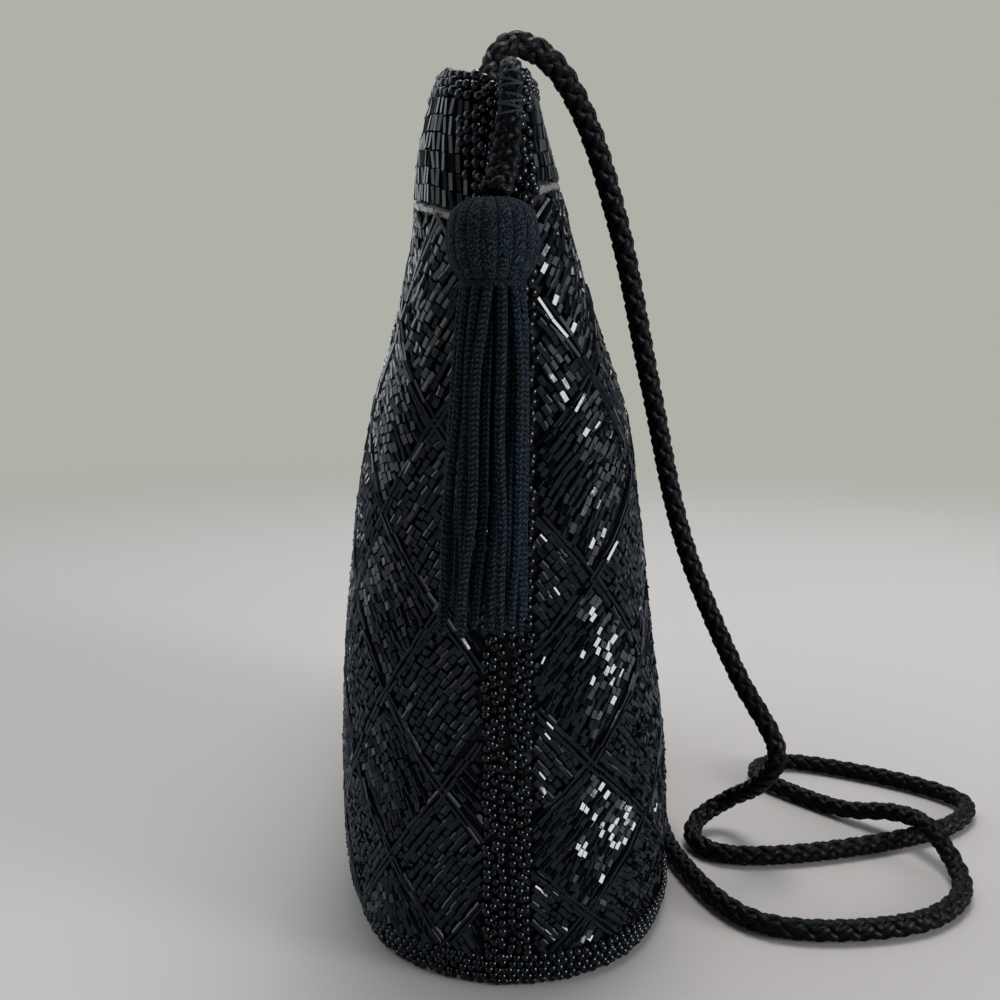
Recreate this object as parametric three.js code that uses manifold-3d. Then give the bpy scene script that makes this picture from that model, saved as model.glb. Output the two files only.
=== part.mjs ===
import * as THREE from 'three';
import { mergeVertices } from 'three/addons/utils/BufferGeometryUtils.js';
import Module from 'manifold-3d';

// A beaded evening bag: a soft pouch of beaded cloth that stands on an oval base and closes to a slit.
// X runs from the front panel to the back panel, Y from the near side seam to the far one, Z up.
// The origin is the middle of the base, on the surface that the bag stands on. Millimetres.

// Driving dimensions
const WALL = 2.0; // cloth together with the beads sewn on it
const GAP = 0.3; // clearance between neighbouring pieces
const MOUTH_MIDDLE = 194; // height of the mouth half way between the seams
const MOUTH_NOTCH = 186.5; // height of the mouth at the seams
const MOUTH_DIP_POWER = 3.4; // how suddenly the mouth dips towards a seam
const STRIP_WIDTH = 10; // bead strip over a side seam, measured round the wall
const ROUND_BEAD_PROUD = 0.4; // round beads stand out past the bugles by this much
const RIM_HEIGHT = 6.6; // bead rows round the foot
const BASE_THICKNESS = 2.2;
const EDGING_HEIGHT = 5.6; // bead rows along the mouth
const SILVER_MIDDLE = 174; // level of the silver row half way between the seams
const SILVER_DIP_FRONT = { drop: 13, power: 1.6 }; // how the row falls towards the seams
const SILVER_DIP_BACK = { drop: 8, power: 2.5 };
const SILVER_WIDTH = 2.2;
const SILVER_GROOVE = 1.4; // the silver beads lie this deep in the beadwork
const STRAP_DIAMETER = 5;
const STRAP_SIDES = 8;
const STRAP_STEPS = 84;
const HANGER_SIDES = 10;
const NEAR = -1;
const FAR = 1;
const FRONT = -1;
const BACK = 1;

// Level sections of the pouch: half depth of each panel at mid length, half length from seam to seam,
// how full the ends are in plan, and how flat they are across (0.5 is round, less is flatter).
const SECTIONS = [
  { z: 0, front: 39.0, back: 39.0, length: 86.0, fullness: 4.3, point: 0.5 },
  { z: 8, front: 42.0, back: 42.0, length: 88.0, fullness: 4.3, point: 0.5 },
  { z: 35, front: 42.9, back: 42.2, length: 89.0, fullness: 4.4, point: 0.5 },
  { z: 70, front: 40.8, back: 37.4, length: 92.0, fullness: 4.8, point: 0.49 },
  { z: 100, front: 36.8, back: 32.7, length: 96.0, fullness: 5.4, point: 0.47 },
  { z: 125, front: 31.7, back: 28.3, length: 100.0, fullness: 6.2, point: 0.455 },
  { z: 145, front: 25.3, back: 20.6, length: 103.0, fullness: 7.2, point: 0.44 },
  { z: 162, front: 20.7, back: 14.2, length: 105.5, fullness: 8.2, point: 0.43 },
  { z: 178, front: 18.9, back: 9.3, length: 107.0, fullness: 9.0, point: 0.42 },
  { z: 198, front: 12.5, back: 2.6, length: 108.0, fullness: 9.0, point: 0.42 },
];

// The strap's route, [x, y, z], from inside the near end of the mouth, over the back panel's edge, down to the
// surface, through its loose loops, back along the foot of the bag and up to the far end of the mouth.
const STRAP_ROUTE = [
  [-1.4, -101.5, 174], [-3.4, -90.4, 191.4], [0.6, -86.2, 198.4], [7.6, -80.6, 197.8], [16.4, -67.5, 189.6],
  [26, -53, 168], [36.5, -37, 131], [47.8, -28.2, 89], [62, -31.6, 54.6], [72.2, -37.6, 34.5],
  [70.8, -27, 20.5], [65.2, -14.2, 9.8], [56.6, -16.2, 5], [53.4, -24.4, 3], [58.8, -32.2, 2.8],
  [79, -33.2, 2.8], [130, -16.2, 2.8], [140.5, -2, 2.8], [131, 11.5, 2.8], [95.6, 29.4, 2.8],
  [85.4, 26.2, 2.8], [82.2, 18, 2.8], [87.4, 9.6, 2.8], [102, -6.6, 3.2], [113, -17.8, 7.4],
  [117.6, -27.8, 8.7], [120.2, -41.8, 3.6], [115.2, -55, 2.8], [98, -67, 2.8], [61.6, -66.4, 2.8],
  [46.8, -34, 2.8], [46.8, 10, 2.8], [47.8, 38, 5], [46, 56, 27], [34, 66, 120],
  [16.4, 67.5, 189.6], [7.6, 80.6, 197.8], [0.6, 86.2, 198.4], [-3.4, 90.4, 191.4], [-1.4, 101.5, 174],
];

// Tassel hanger: a flattened braid from the notch of the mouth down the seam, drawn for the near end.
const HANGER_ROUTE = [
  { x: 0.3, y: -104.4, z: 188.9, halfWidth: 1.6, halfThickness: 1.2 },
  { x: 0.4, y: -107.5, z: 189.0, halfWidth: 1.7, halfThickness: 1.3 },
  { x: 0.4, y: -110.2, z: 186.8, halfWidth: 1.9, halfThickness: 1.4 },
  { x: 0.0, y: -110.3, z: 179.0, halfWidth: 2.3, halfThickness: 1.5 },
  { x: -1.0, y: -111.3, z: 171.4, halfWidth: 2.6, halfThickness: 1.6 },
  { x: -2.2, y: -113.4, z: 166.9, halfWidth: 2.6, halfThickness: 1.8 },
];

// Tassel: the ball head is turned about an upright axis, and the skirt is a ring of locks round a core.
const TASSEL_X = -2.7;
const TASSEL_Y = 114.4;
const TASSEL_LEAN = -2.2; // the skirt hangs a little to the front
const HEAD_SEGMENTS = 16;
const HEAD_PROFILE = [
  { radius: 0, z: 148 },
  { radius: 6.4, z: 148 },
  { radius: 6.2, z: 150.4 },
  { radius: 5.6, z: 152 },
  { radius: 6.9, z: 153.5 },
  { radius: 7.9, z: 156 },
  { radius: 8.2, z: 159 },
  { radius: 7.5, z: 162.2 },
  { radius: 5.6, z: 164.6 },
  { radius: 2.8, z: 165.8 },
  { radius: 0, z: 166 },
];
const LOCK_COUNT = 8;
const LOCK_RADIUS = 2.5;
const LOCK_SIDES = 7;
const LOCK_STEPS = 4;
const LOCK_TOP = 151.2;
const LOCK_TIP = 90;
const LOCK_TIP_SPREAD = 2.5;
const LOCK_RING_TOP = 4.3; // distance of a lock's middle from the tassel's axis at the neck
const LOCK_RING_TIP = 6.3;
const CORE_RADIUS = 3.4;

// Grid sizes of the faceted walls
const PANEL_STATIONS = 26;
const PANEL_LEVELS = 10;
const BAND_LEVELS = 3;
const RING_STATIONS = 28;
const STRIP_LEVELS = 17;

const wasm = await Module();
wasm.setup();

const bag = new THREE.Group();

const blackBeads = { color: 0x15161a, roughness: 0.16, metalness: 0 };
const silverBeads = { color: 0xb9bcc2, roughness: 0.2, metalness: 0.6 };
const blackRope = { color: 0x101013, roughness: 0.55, metalness: 0 };
const navyCord = { color: 0x1b2430, roughness: 0.85, metalness: 0 };

function addPiece(name, geometry, finish) {
  const mesh = new THREE.Mesh(geometry, new THREE.MeshStandardMaterial(finish));
  mesh.name = name;
  bag.add(mesh);
}

// One column of the section table at height z: a cubic through the rows, with slopes taken across neighbours.
function sectionValue(column, z) {
  const last = SECTIONS.length - 1;
  const slope = (i) => {
    const a = SECTIONS[Math.max(i - 1, 0)];
    const b = SECTIONS[Math.min(i + 1, last)];
    return (b[column] - a[column]) / (b.z - a.z);
  };
  let i = 0;
  while (i < last - 1 && z > SECTIONS[i + 1].z) i += 1;
  const low = SECTIONS[i];
  const high = SECTIONS[i + 1];
  const h = high.z - low.z;
  const t = (z - low.z) / h;
  const fromLow = (1 + 2 * t) * (1 - t) ** 2 * low[column] + t * (1 - t) ** 2 * h * slope(i);
  const fromHigh = t * t * (3 - 2 * t) * high[column] + t * t * (t - 1) * h * slope(i + 1);
  return fromLow + fromHigh;
}

function mouthHeight(u) {
  return MOUTH_MIDDLE - (MOUTH_MIDDLE - MOUTH_NOTCH) * Math.abs(u) ** MOUTH_DIP_POWER;
}

function silverHeight(side, u) {
  const { drop, power } = side === FRONT ? SILVER_DIP_FRONT : SILVER_DIP_BACK;
  return SILVER_MIDDLE - drop * Math.abs(u) ** power;
}

// A point of the pouch's outer skin: u runs from -1 at the near seam to 1 at the far seam.
function skinPoint(side, u, z) {
  const depth = sectionValue(side === FRONT ? 'front' : 'back', z);
  const along = Math.sin((Math.PI / 2) * u);
  const fill = Math.max(1 - Math.abs(along) ** sectionValue('fullness', z), 0);
  const x = side * depth * fill ** sectionValue('point', z);
  return new THREE.Vector3(x, sectionValue('length', z) * along, z);
}

// The skin moved along its outward normal. On the seam line itself the normal points straight out of the end.
function offsetPoint(side, u, z, offset) {
  const step = 1e-3;
  const here = skinPoint(side, u, z);
  if (Math.abs(u) > 1 - step) {
    return here.add(new THREE.Vector3(0, Math.sign(u) * offset, 0));
  }
  const along = skinPoint(side, u + step, z).sub(skinPoint(side, u - step, z));
  const up = skinPoint(side, u, z + step).sub(skinPoint(side, u, z - step));
  const normal = along.cross(up).normalize().multiplyScalar(side);
  return here.add(normal.multiplyScalar(offset));
}

// The value of u that lies a given distance round the wall from the near seam, at height z.
function stationAt(side, z, distance) {
  const step = 0.002;
  let walked = 0;
  let u = -1;
  let here = skinPoint(side, u, z);
  while (walked < distance) {
    const next = skinPoint(side, u + step, z);
    walked += next.distanceTo(here);
    here = next;
    u += step;
  }
  return u;
}

// A closed body from points and triangles, turned the right way out.
function closedGeometry(points, triangles) {
  let volume = 0;
  for (const [a, b, c] of triangles) {
    volume += points[a].dot(points[b].clone().cross(points[c]));
  }
  const ordered = volume < 0 ? triangles.map(([a, b, c]) => [a, c, b]) : triangles;
  const geometry = new THREE.BufferGeometry().setFromPoints(points);
  geometry.setIndex(ordered.flat());
  geometry.computeVertexNormals();
  return geometry;
}

// A wall between two grids of points of the same size, closed round its edges, or joined into a ring.
function wallBetween(outside, inside, ring = false) {
  const rows = outside.length;
  const columns = outside[0].length;
  const points = [...outside.flat(), ...inside.flat()];
  const at = (face, i, j) => face * rows * columns + (i % rows) * columns + j;
  const triangles = [];
  const quad = (a, b, c, d) => triangles.push([a, b, c], [a, c, d]);
  const steps = ring ? rows : rows - 1;
  for (let i = 0; i < steps; i += 1) {
    for (let j = 0; j < columns - 1; j += 1) {
      quad(at(0, i, j), at(0, i + 1, j), at(0, i + 1, j + 1), at(0, i, j + 1));
      quad(at(1, i, j), at(1, i, j + 1), at(1, i + 1, j + 1), at(1, i + 1, j));
    }
    quad(at(0, i, 0), at(1, i, 0), at(1, i + 1, 0), at(0, i + 1, 0));
    quad(at(0, i, columns - 1), at(0, i + 1, columns - 1), at(1, i + 1, columns - 1), at(1, i, columns - 1));
  }
  if (!ring) {
    for (let j = 0; j < columns - 1; j += 1) {
      quad(at(0, 0, j), at(0, 0, j + 1), at(1, 0, j + 1), at(1, 0, j));
      quad(at(0, rows - 1, j), at(1, rows - 1, j), at(1, rows - 1, j + 1), at(0, rows - 1, j + 1));
    }
  }
  return closedGeometry(points, triangles);
}

// A wall that runs from one seam strip to the other. Each level has a height, which may depend on u, and the
// distance of its outer and inner faces from the skin.
function seamToSeamWall(side, levels) {
  const clear = STRIP_WIDTH / 2 + GAP;
  const grid = (face) => {
    const stations = [];
    for (let i = 0; i <= PANEL_STATIONS; i += 1) {
      const share = 2 * (i / PANEL_STATIONS) - 1;
      stations.push(levels.map((level) => {
        const nearly = Math.abs(stationAt(side, level.height(share), clear));
        const edge = Math.abs(stationAt(side, level.height(nearly * share), clear));
        const u = edge * share;
        return offsetPoint(side, u, level.height(u), level[face]);
      }));
    }
    return stations;
  };
  return wallBetween(grid('outer'), grid('inner'));
}

const level = (height, outer, inner = -WALL) => ({ height, outer, inner });
const mouthLevel = (below, outer, inner = -WALL) => level((u) => mouthHeight(u) - below, outer, inner);

// Front and back panels: beaded cloth, with a groove all along for the silver row.
function panelLevels(side) {
  const foot = RIM_HEIGHT + GAP;
  const grooveHalf = SILVER_WIDTH / 2 + GAP;
  const lip = 0.1;
  const grooveFoot = (u) => silverHeight(side, u) - grooveHalf;
  const grooveTop = (u) => silverHeight(side, u) + grooveHalf;
  const bandTop = EDGING_HEIGHT + GAP;
  const levels = [];
  for (let i = 0; i <= PANEL_LEVELS; i += 1) {
    levels.push(level((u) => foot + ((grooveFoot(u) - lip - foot) * i) / PANEL_LEVELS, 0));
  }
  levels.push(level(grooveFoot, -SILVER_GROOVE), level(grooveTop, -SILVER_GROOVE));
  for (let i = 0; i <= BAND_LEVELS; i += 1) {
    const share = i / BAND_LEVELS;
    levels.push(level((u) => (grooveTop(u) + lip) * (1 - share) + (mouthHeight(u) - bandTop) * share, 0));
  }
  return levels;
}

// Silver row: a flat string of bugles that lies in the panel's groove.
function silverLevels(side) {
  const bed = -SILVER_GROOVE + GAP;
  const half = SILVER_WIDTH / 2;
  return [
    level((u) => silverHeight(side, u) - half, -0.2, bed),
    level((u) => silverHeight(side, u), 0.1, bed),
    level((u) => silverHeight(side, u) + half, -0.2, bed),
  ];
}

// Edging: rows of round beads along the mouth, rounded over at the top.
function edgingLevels() {
  return [
    mouthLevel(EDGING_HEIGHT, ROUND_BEAD_PROUD),
    mouthLevel(1.4, ROUND_BEAD_PROUD),
    mouthLevel(0, -0.4, -WALL + 0.5),
  ];
}

for (const [name, side] of [['front', FRONT], ['back', BACK]]) {
  addPiece(`${name}_panel`, seamToSeamWall(side, panelLevels(side)), blackBeads);
  addPiece(`${name}_silver_row`, seamToSeamWall(side, silverLevels(side)), silverBeads);
  addPiece(`${name}_edging`, seamToSeamWall(side, edgingLevels()), blackBeads);
}

// Stations all the way round the foot, back panel first.
function roundTheFoot(visit) {
  const stations = [];
  for (let i = 0; i < RING_STATIONS; i += 1) stations.push(visit(BACK, (2 * i) / RING_STATIONS - 1));
  for (let i = 0; i < RING_STATIONS; i += 1) stations.push(visit(FRONT, 1 - (2 * i) / RING_STATIONS));
  return stations;
}

// Base rim: rows of round beads round the foot, tucked under at the bottom.
function baseRim() {
  const levels = [
    { z: 0, outer: -1.2 },
    { z: 1.6, outer: 0.2 },
    { z: 4, outer: ROUND_BEAD_PROUD },
    { z: RIM_HEIGHT, outer: ROUND_BEAD_PROUD },
  ];
  const outside = roundTheFoot((side, u) => levels.map(({ z, outer }) => offsetPoint(side, u, z, outer)));
  const inside = roundTheFoot((side, u) => levels.map(({ z }) => offsetPoint(side, u, z, -WALL)));
  return wallBetween(outside, inside, true);
}

// Base panel: a flat oval inside the rim, whose underside is what the bag stands on.
function basePanel() {
  const inset = -WALL - GAP;
  const outline = roundTheFoot((side, u) => {
    const foot = offsetPoint(side, u, 0, inset);
    const raised = offsetPoint(side, u, BASE_THICKNESS, inset);
    return foot.length() < raised.length() ? foot : raised;
  });
  const shape = new THREE.Shape(outline.map((p) => new THREE.Vector2(p.x, p.y)));
  return new THREE.ExtrudeGeometry(shape, { depth: BASE_THICKNESS, bevelEnabled: false });
}

addPiece('base_rim', baseRim(), blackBeads);
addPiece('base_panel', basePanel(), blackBeads);

// Side seam: a strip that wraps the end of the pouch and closes the gap between the two panels. Its inner face
// is drawn between its two inner edges, so that it stays inside the narrow wedge near the mouth.
function seamStrip(end) {
  const foot = RIM_HEIGHT + GAP;
  const half = STRIP_WIDTH / 2;
  const outside = [];
  const inside = [];
  for (let i = 0; i <= STRIP_LEVELS; i += 1) {
    const z = foot + ((MOUTH_NOTCH - foot) * i) / STRIP_LEVELS;
    const place = (side, distance, offset) => offsetPoint(side, -end * stationAt(side, z, distance), z, offset);
    const tip = offsetPoint(FRONT, end, z, ROUND_BEAD_PROUD);
    outside.push([
      place(FRONT, half, ROUND_BEAD_PROUD),
      place(FRONT, half / 2, ROUND_BEAD_PROUD),
      tip,
      place(BACK, half / 2, ROUND_BEAD_PROUD),
      place(BACK, half, ROUND_BEAD_PROUD),
    ]);
    const innerFront = place(FRONT, half, -WALL);
    const innerBack = place(BACK, half, -WALL);
    const middle = innerFront.clone().lerp(innerBack, 0.5);
    const edges = outside[i][0].clone().lerp(outside[i][4], 0.5);
    const bow = Math.abs(tip.y - edges.y);
    middle.y += end * bow * 0.35;
    inside.push([
      innerFront,
      innerFront.clone().lerp(middle, 0.5),
      middle,
      middle.clone().lerp(innerBack, 0.5),
      innerBack,
    ]);
  }
  return wallBetween(outside, inside);
}

// Strap: a round rope along its route.
function strap() {
  const route = STRAP_ROUTE.map(([x, y, z]) => new THREE.Vector3(x, y, z));
  const path = new THREE.CatmullRomCurve3(route, false, 'centripetal');
  const corners = [];
  for (let i = 0; i < STRAP_SIDES; i += 1) {
    const angle = (2 * Math.PI * i) / STRAP_SIDES;
    corners.push(new THREE.Vector2(Math.cos(angle), Math.sin(angle)).multiplyScalar(STRAP_DIAMETER / 2));
  }
  const section = new THREE.Shape(corners);
  return new THREE.ExtrudeGeometry(section, { steps: STRAP_STEPS, extrudePath: path, bevelEnabled: false });
}

addPiece('strap', strap(), blackRope);

// Tassel hanger: oval rings across the braid's route, closed at both ends by a middle point.
function tasselHanger(end) {
  const centres = HANGER_ROUTE.map(({ x, y, z }) => new THREE.Vector3(x, -end * y, z));
  const points = [];
  HANGER_ROUTE.forEach(({ halfWidth, halfThickness }, i) => {
    const before = centres[Math.max(i - 1, 0)];
    const after = centres[Math.min(i + 1, centres.length - 1)];
    const across = new THREE.Vector3(1, 0, 0);
    const out = after.clone().sub(before).cross(across).normalize();
    for (let k = 0; k < HANGER_SIDES; k += 1) {
      const angle = (2 * Math.PI * k) / HANGER_SIDES;
      const point = centres[i].clone().addScaledVector(across, halfWidth * Math.cos(angle));
      points.push(point.addScaledVector(out, halfThickness * Math.sin(angle)));
    }
  });
  const triangles = [];
  const lastRing = HANGER_ROUTE.length - 1;
  points.push(centres[0], centres[lastRing]);
  const topMiddle = points.length - 2;
  const footMiddle = points.length - 1;
  for (let k = 0; k < HANGER_SIDES; k += 1) {
    const next = (k + 1) % HANGER_SIDES;
    for (let i = 0; i < lastRing; i += 1) {
      const a = i * HANGER_SIDES;
      const b = a + HANGER_SIDES;
      triangles.push([a + k, a + next, b + next], [a + k, b + next, b + k]);
    }
    const foot = lastRing * HANGER_SIDES;
    triangles.push([topMiddle, next, k], [footMiddle, foot + k, foot + next]);
  }
  return closedGeometry(points, triangles);
}

function toSolid(geometry) {
  const bare = geometry.clone();
  bare.deleteAttribute('normal');
  bare.deleteAttribute('uv');
  const merged = mergeVertices(bare, 1e-4);
  return new wasm.Manifold(new wasm.Mesh({
    numProp: 3,
    vertProperties: new Float32Array(merged.attributes.position.array),
    triVerts: new Uint32Array(merged.index.array),
  }));
}

function toGeometry(solid) {
  const mesh = solid.getMesh();
  const geometry = new THREE.BufferGeometry();
  geometry.setAttribute('position', new THREE.BufferAttribute(new Float32Array(mesh.vertProperties), 3));
  geometry.setIndex(new THREE.BufferAttribute(new Uint32Array(mesh.triVerts), 1));
  geometry.computeVertexNormals();
  return geometry;
}

// One lock of the skirt: a tapering hank of cords drawn as a round bar from the neck to its tip.
function skirtLock(radius, ringTop, ringTip, angle, tip) {
  const out = new THREE.Vector3(Math.cos(angle), Math.sin(angle), 0);
  const path = [0, 0.25, 0.6, 1].map((share) => {
    const point = out.clone().multiplyScalar(ringTop + (ringTip - ringTop) * share ** 0.6);
    point.x += TASSEL_LEAN * share;
    point.z = LOCK_TOP + (tip - LOCK_TOP) * share;
    return point;
  });
  const corners = [];
  for (let i = 0; i < LOCK_SIDES; i += 1) {
    const turn = (2 * Math.PI * i) / LOCK_SIDES;
    corners.push(new THREE.Vector2(Math.cos(turn), Math.sin(turn)).multiplyScalar(radius));
  }
  return new THREE.ExtrudeGeometry(new THREE.Shape(corners), {
    steps: LOCK_STEPS,
    extrudePath: new THREE.CatmullRomCurve3(path),
    bevelEnabled: false,
  });
}

// Tassel: the turned head with its skirt of locks, fused into one body.
function tassel(end) {
  const profile = HEAD_PROFILE.map(({ radius, z }) => new THREE.Vector2(radius, z));
  const head = new THREE.LatheGeometry(profile, HEAD_SEGMENTS).rotateX(Math.PI / 2);
  let solid = toSolid(head).add(toSolid(skirtLock(CORE_RADIUS, 0, 0, 0, LOCK_TIP)));
  for (let i = 0; i < LOCK_COUNT; i += 1) {
    const angle = (2 * Math.PI * (i + 0.5)) / LOCK_COUNT;
    const tip = LOCK_TIP + LOCK_TIP_SPREAD * Math.sin(2.4 * i);
    solid = solid.add(toSolid(skirtLock(LOCK_RADIUS, LOCK_RING_TOP, LOCK_RING_TIP, angle, tip)));
  }
  return toGeometry(solid).translate(TASSEL_X, end * TASSEL_Y, 0);
}

for (const [name, end] of [['near', NEAR], ['far', FAR]]) {
  addPiece(`${name}_seam`, seamStrip(end), blackBeads);
  addPiece(`${name}_tassel_hanger`, tasselHanger(end), blackRope);
  addPiece(`${name}_tassel`, tassel(end), navyCord);
}

export default bag;
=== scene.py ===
import math

import bpy
import numpy as np
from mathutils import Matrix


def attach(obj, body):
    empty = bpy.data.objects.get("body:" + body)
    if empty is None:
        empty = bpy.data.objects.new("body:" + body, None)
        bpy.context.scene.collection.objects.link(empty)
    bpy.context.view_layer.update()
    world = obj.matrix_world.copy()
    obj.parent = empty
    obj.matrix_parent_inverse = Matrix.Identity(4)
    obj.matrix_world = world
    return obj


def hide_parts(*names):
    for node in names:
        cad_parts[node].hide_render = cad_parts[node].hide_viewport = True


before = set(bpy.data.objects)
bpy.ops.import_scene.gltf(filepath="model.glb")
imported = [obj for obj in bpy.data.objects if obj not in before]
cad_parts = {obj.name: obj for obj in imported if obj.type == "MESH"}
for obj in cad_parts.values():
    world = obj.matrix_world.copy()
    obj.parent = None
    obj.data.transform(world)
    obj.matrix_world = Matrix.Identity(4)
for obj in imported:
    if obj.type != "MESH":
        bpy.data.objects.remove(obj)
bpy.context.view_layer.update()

# The view: a camera close to one narrow end of the bag, a little above its middle and tipped down.
# The bag stands on a plain pale floor, with two soft lights on the right and a weaker one overhead.
CAMERA_PLACE = (-0.0015, -0.291, 0.140)
CAMERA_TIP = math.atan(0.15)
CAMERA_LENS = 36.0
SENSOR_WIDTH = 36.0
CAMERA_CLIP = 0.01
LIGHTS = {
    # place, point that it faces, width, height, power and colour
    "window_light": ((1.9, -0.95, 0.42), (0.0, -0.05, 0.12), 0.64, 0.8, 22.5, (0.95, 0.98, 1.0)),
    "curtain_light": ((2.0, -0.85, 0.82), (0.0, -0.05, 0.20), 2.4, 1.6, 16.0, (0.90, 0.96, 1.0)),
    "ceiling_light": ((0.15, 0.2, 1.3), (0.0, 0.0, 0.0), 0.6, 0.6, 7.5, (1.0, 1.0, 1.0)),
}

camera_data = bpy.data.cameras.new("camera")
camera_data.lens = CAMERA_LENS
camera_data.sensor_width = SENSOR_WIDTH
camera_data.clip_start = CAMERA_CLIP
camera = bpy.data.objects.new("camera", camera_data)
camera.location = CAMERA_PLACE
camera.rotation_euler = (math.pi / 2 - CAMERA_TIP, 0.0, 0.0)
bpy.context.scene.collection.objects.link(camera)
bpy.context.scene.camera = camera
bpy.context.scene.view_settings.view_transform = "Standard"


def add_light(name, place, aim, width, height, power, colour):
    """A soft light the shape of a window at a place, turned to face a point."""
    data = bpy.data.lights.new(name, "AREA")
    data.shape = "RECTANGLE"
    data.size = width
    data.size_y = height
    data.energy = power
    data.color = colour
    light = bpy.data.objects.new(name, data)
    away = np.subtract(place, aim)
    light.location = place
    tip = math.acos(away[2] / np.linalg.norm(away))
    light.rotation_euler = (tip, 0.0, math.atan2(away[1], away[0]) + math.pi / 2)
    bpy.context.scene.collection.objects.link(light)


for name, values in LIGHTS.items():
    add_light(name, *values)

# The room that the beads reflect is pale on the left and behind the bag, and dark on the camera's side.
# What the camera sees behind the floor is one plain background.
BACKGROUND_COLOUR = (0.435, 0.44, 0.39, 1.0)
ROOM_DARK = (0.022, 0.026, 0.030, 1.0)
ROOM_PALE = (1.05, 1.13, 1.18, 1.0)
ROOM_SLANT = -0.55
ROOM_DEPTHS = (-0.5, 0.6)
ROOM_SIDES = (-0.6, 0.7)
ROOM_RIGHT_SHARE = 0.14


def feed(tree, node, inputs):
    """Each named input of a node is joined to a socket, or given a value."""
    for name, value in inputs.items():
        if isinstance(value, bpy.types.NodeSocket):
            tree.links.new(value, node.inputs[name])
        else:
            node.inputs[name].default_value = value


def add_node(tree, kind, inputs=(), **settings):
    """A new shader node of a kind, with its own settings and its inputs fed."""
    node = tree.nodes.new(f"ShaderNode{kind}")
    for name, value in settings.items():
        setattr(node, name, value)
    feed(tree, node, dict(inputs))
    return node


def maths(tree, operation, *terms):
    """The result of a Math node fed by sockets or numbers."""
    return add_node(tree, "Math", enumerate(terms), operation=operation).outputs[0]


def mixed(tree, factor, first, second):
    """A colour between two others, by a factor."""
    inputs = {"Factor": factor, "A": first, "B": second}
    return add_node(tree, "Mix", inputs, data_type="RGBA").outputs["Result"]


def ranged(tree, value, start, end, low=0.0, high=1.0, **settings):
    """A value carried from one range to another."""
    inputs = {"Value": value, "From Min": start, "From Max": end, "To Min": low, "To Max": high}
    return add_node(tree, "MapRange", inputs, **settings).outputs["Result"]


world = bpy.data.worlds.new("surround")
world.use_nodes = True
room = world.node_tree
room_way = add_node(room, "TexCoord").outputs["Generated"]
room_split = add_node(room, "SeparateXYZ", {0: room_way}).outputs
room_slant = maths(room, "MULTIPLY_ADD", room_split["X"], ROOM_SLANT, room_split["Y"])
room_depth = ranged(room, room_slant, *ROOM_DEPTHS)
room_right = ranged(room, room_split["X"], *ROOM_SIDES, 1.0, ROOM_RIGHT_SHARE)
room_shade = mixed(room, maths(room, "MULTIPLY", room_depth, room_right), ROOM_DARK, ROOM_PALE)
room_ray = add_node(room, "LightPath").outputs["Is Camera Ray"]
room_seen = mixed(room, room_ray, room_shade, BACKGROUND_COLOUR)
feed(room, room.nodes["Background"], {"Color": room_seen})
bpy.context.scene.world = world

# The floor is matt and pale. In mirror rays it is darker than the camera sees it, so that black glass
# stays black. Far from the bag it fades into the plain background, as a studio's paper sweep does.
FLOOR_HALF = 3.0
FLOOR_COLOUR = (0.63, 0.592, 0.57, 1.0)
FLOOR_REFLECTED = (0.25, 0.275, 0.305, 1.0)
FLOOR_FADE = (0.35, 1.1)


def new_material(name):
    """An empty node material, as (material, node tree, shader)."""
    material = bpy.data.materials.new(name)
    material.use_nodes = True
    return material, material.node_tree, material.node_tree.nodes["Principled BSDF"]


floor_mesh = bpy.data.meshes.new("floor")
floor_corners = [(x * FLOOR_HALF, y * FLOOR_HALF, 0.0) for x, y in ((-1, -1), (1, -1), (1, 1), (-1, 1))]
floor_mesh.from_pydata(floor_corners, [], [(0, 1, 2, 3)])
floor = bpy.data.objects.new("floor", floor_mesh)
bpy.context.scene.collection.objects.link(floor)
floor_paint, floor_tree, floor_shader = new_material("floor_paint")
floor_mesh.materials.append(floor_paint)
floor_rays = add_node(floor_tree, "LightPath").outputs
floor_colour = mixed(floor_tree, floor_rays["Is Glossy Ray"], FLOOR_COLOUR, FLOOR_REFLECTED)
feed(floor_tree, floor_shader, {"Base Color": floor_colour, "Specular IOR Level": 0.0})
floor_place = add_node(floor_tree, "TexCoord").outputs["Object"]
floor_distance = add_node(floor_tree, "VectorMath", {0: floor_place}, operation="LENGTH").outputs["Value"]
floor_fade = ranged(floor_tree, floor_distance, *FLOOR_FADE, interpolation_type="SMOOTHSTEP")
floor_seen = maths(floor_tree, "MULTIPLY", floor_fade, floor_rays["Is Camera Ray"])
floor_sweep = add_node(floor_tree, "Emission", {"Color": BACKGROUND_COLOUR}).outputs["Emission"]
floor_shades = {0: floor_seen, 1: floor_shader.outputs["BSDF"], 2: floor_sweep}
floor_blend = add_node(floor_tree, "MixShader", floor_shades)
feed(floor_tree, floor_tree.nodes["Material Output"], {"Surface": floor_blend.outputs["Shader"]})

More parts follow.
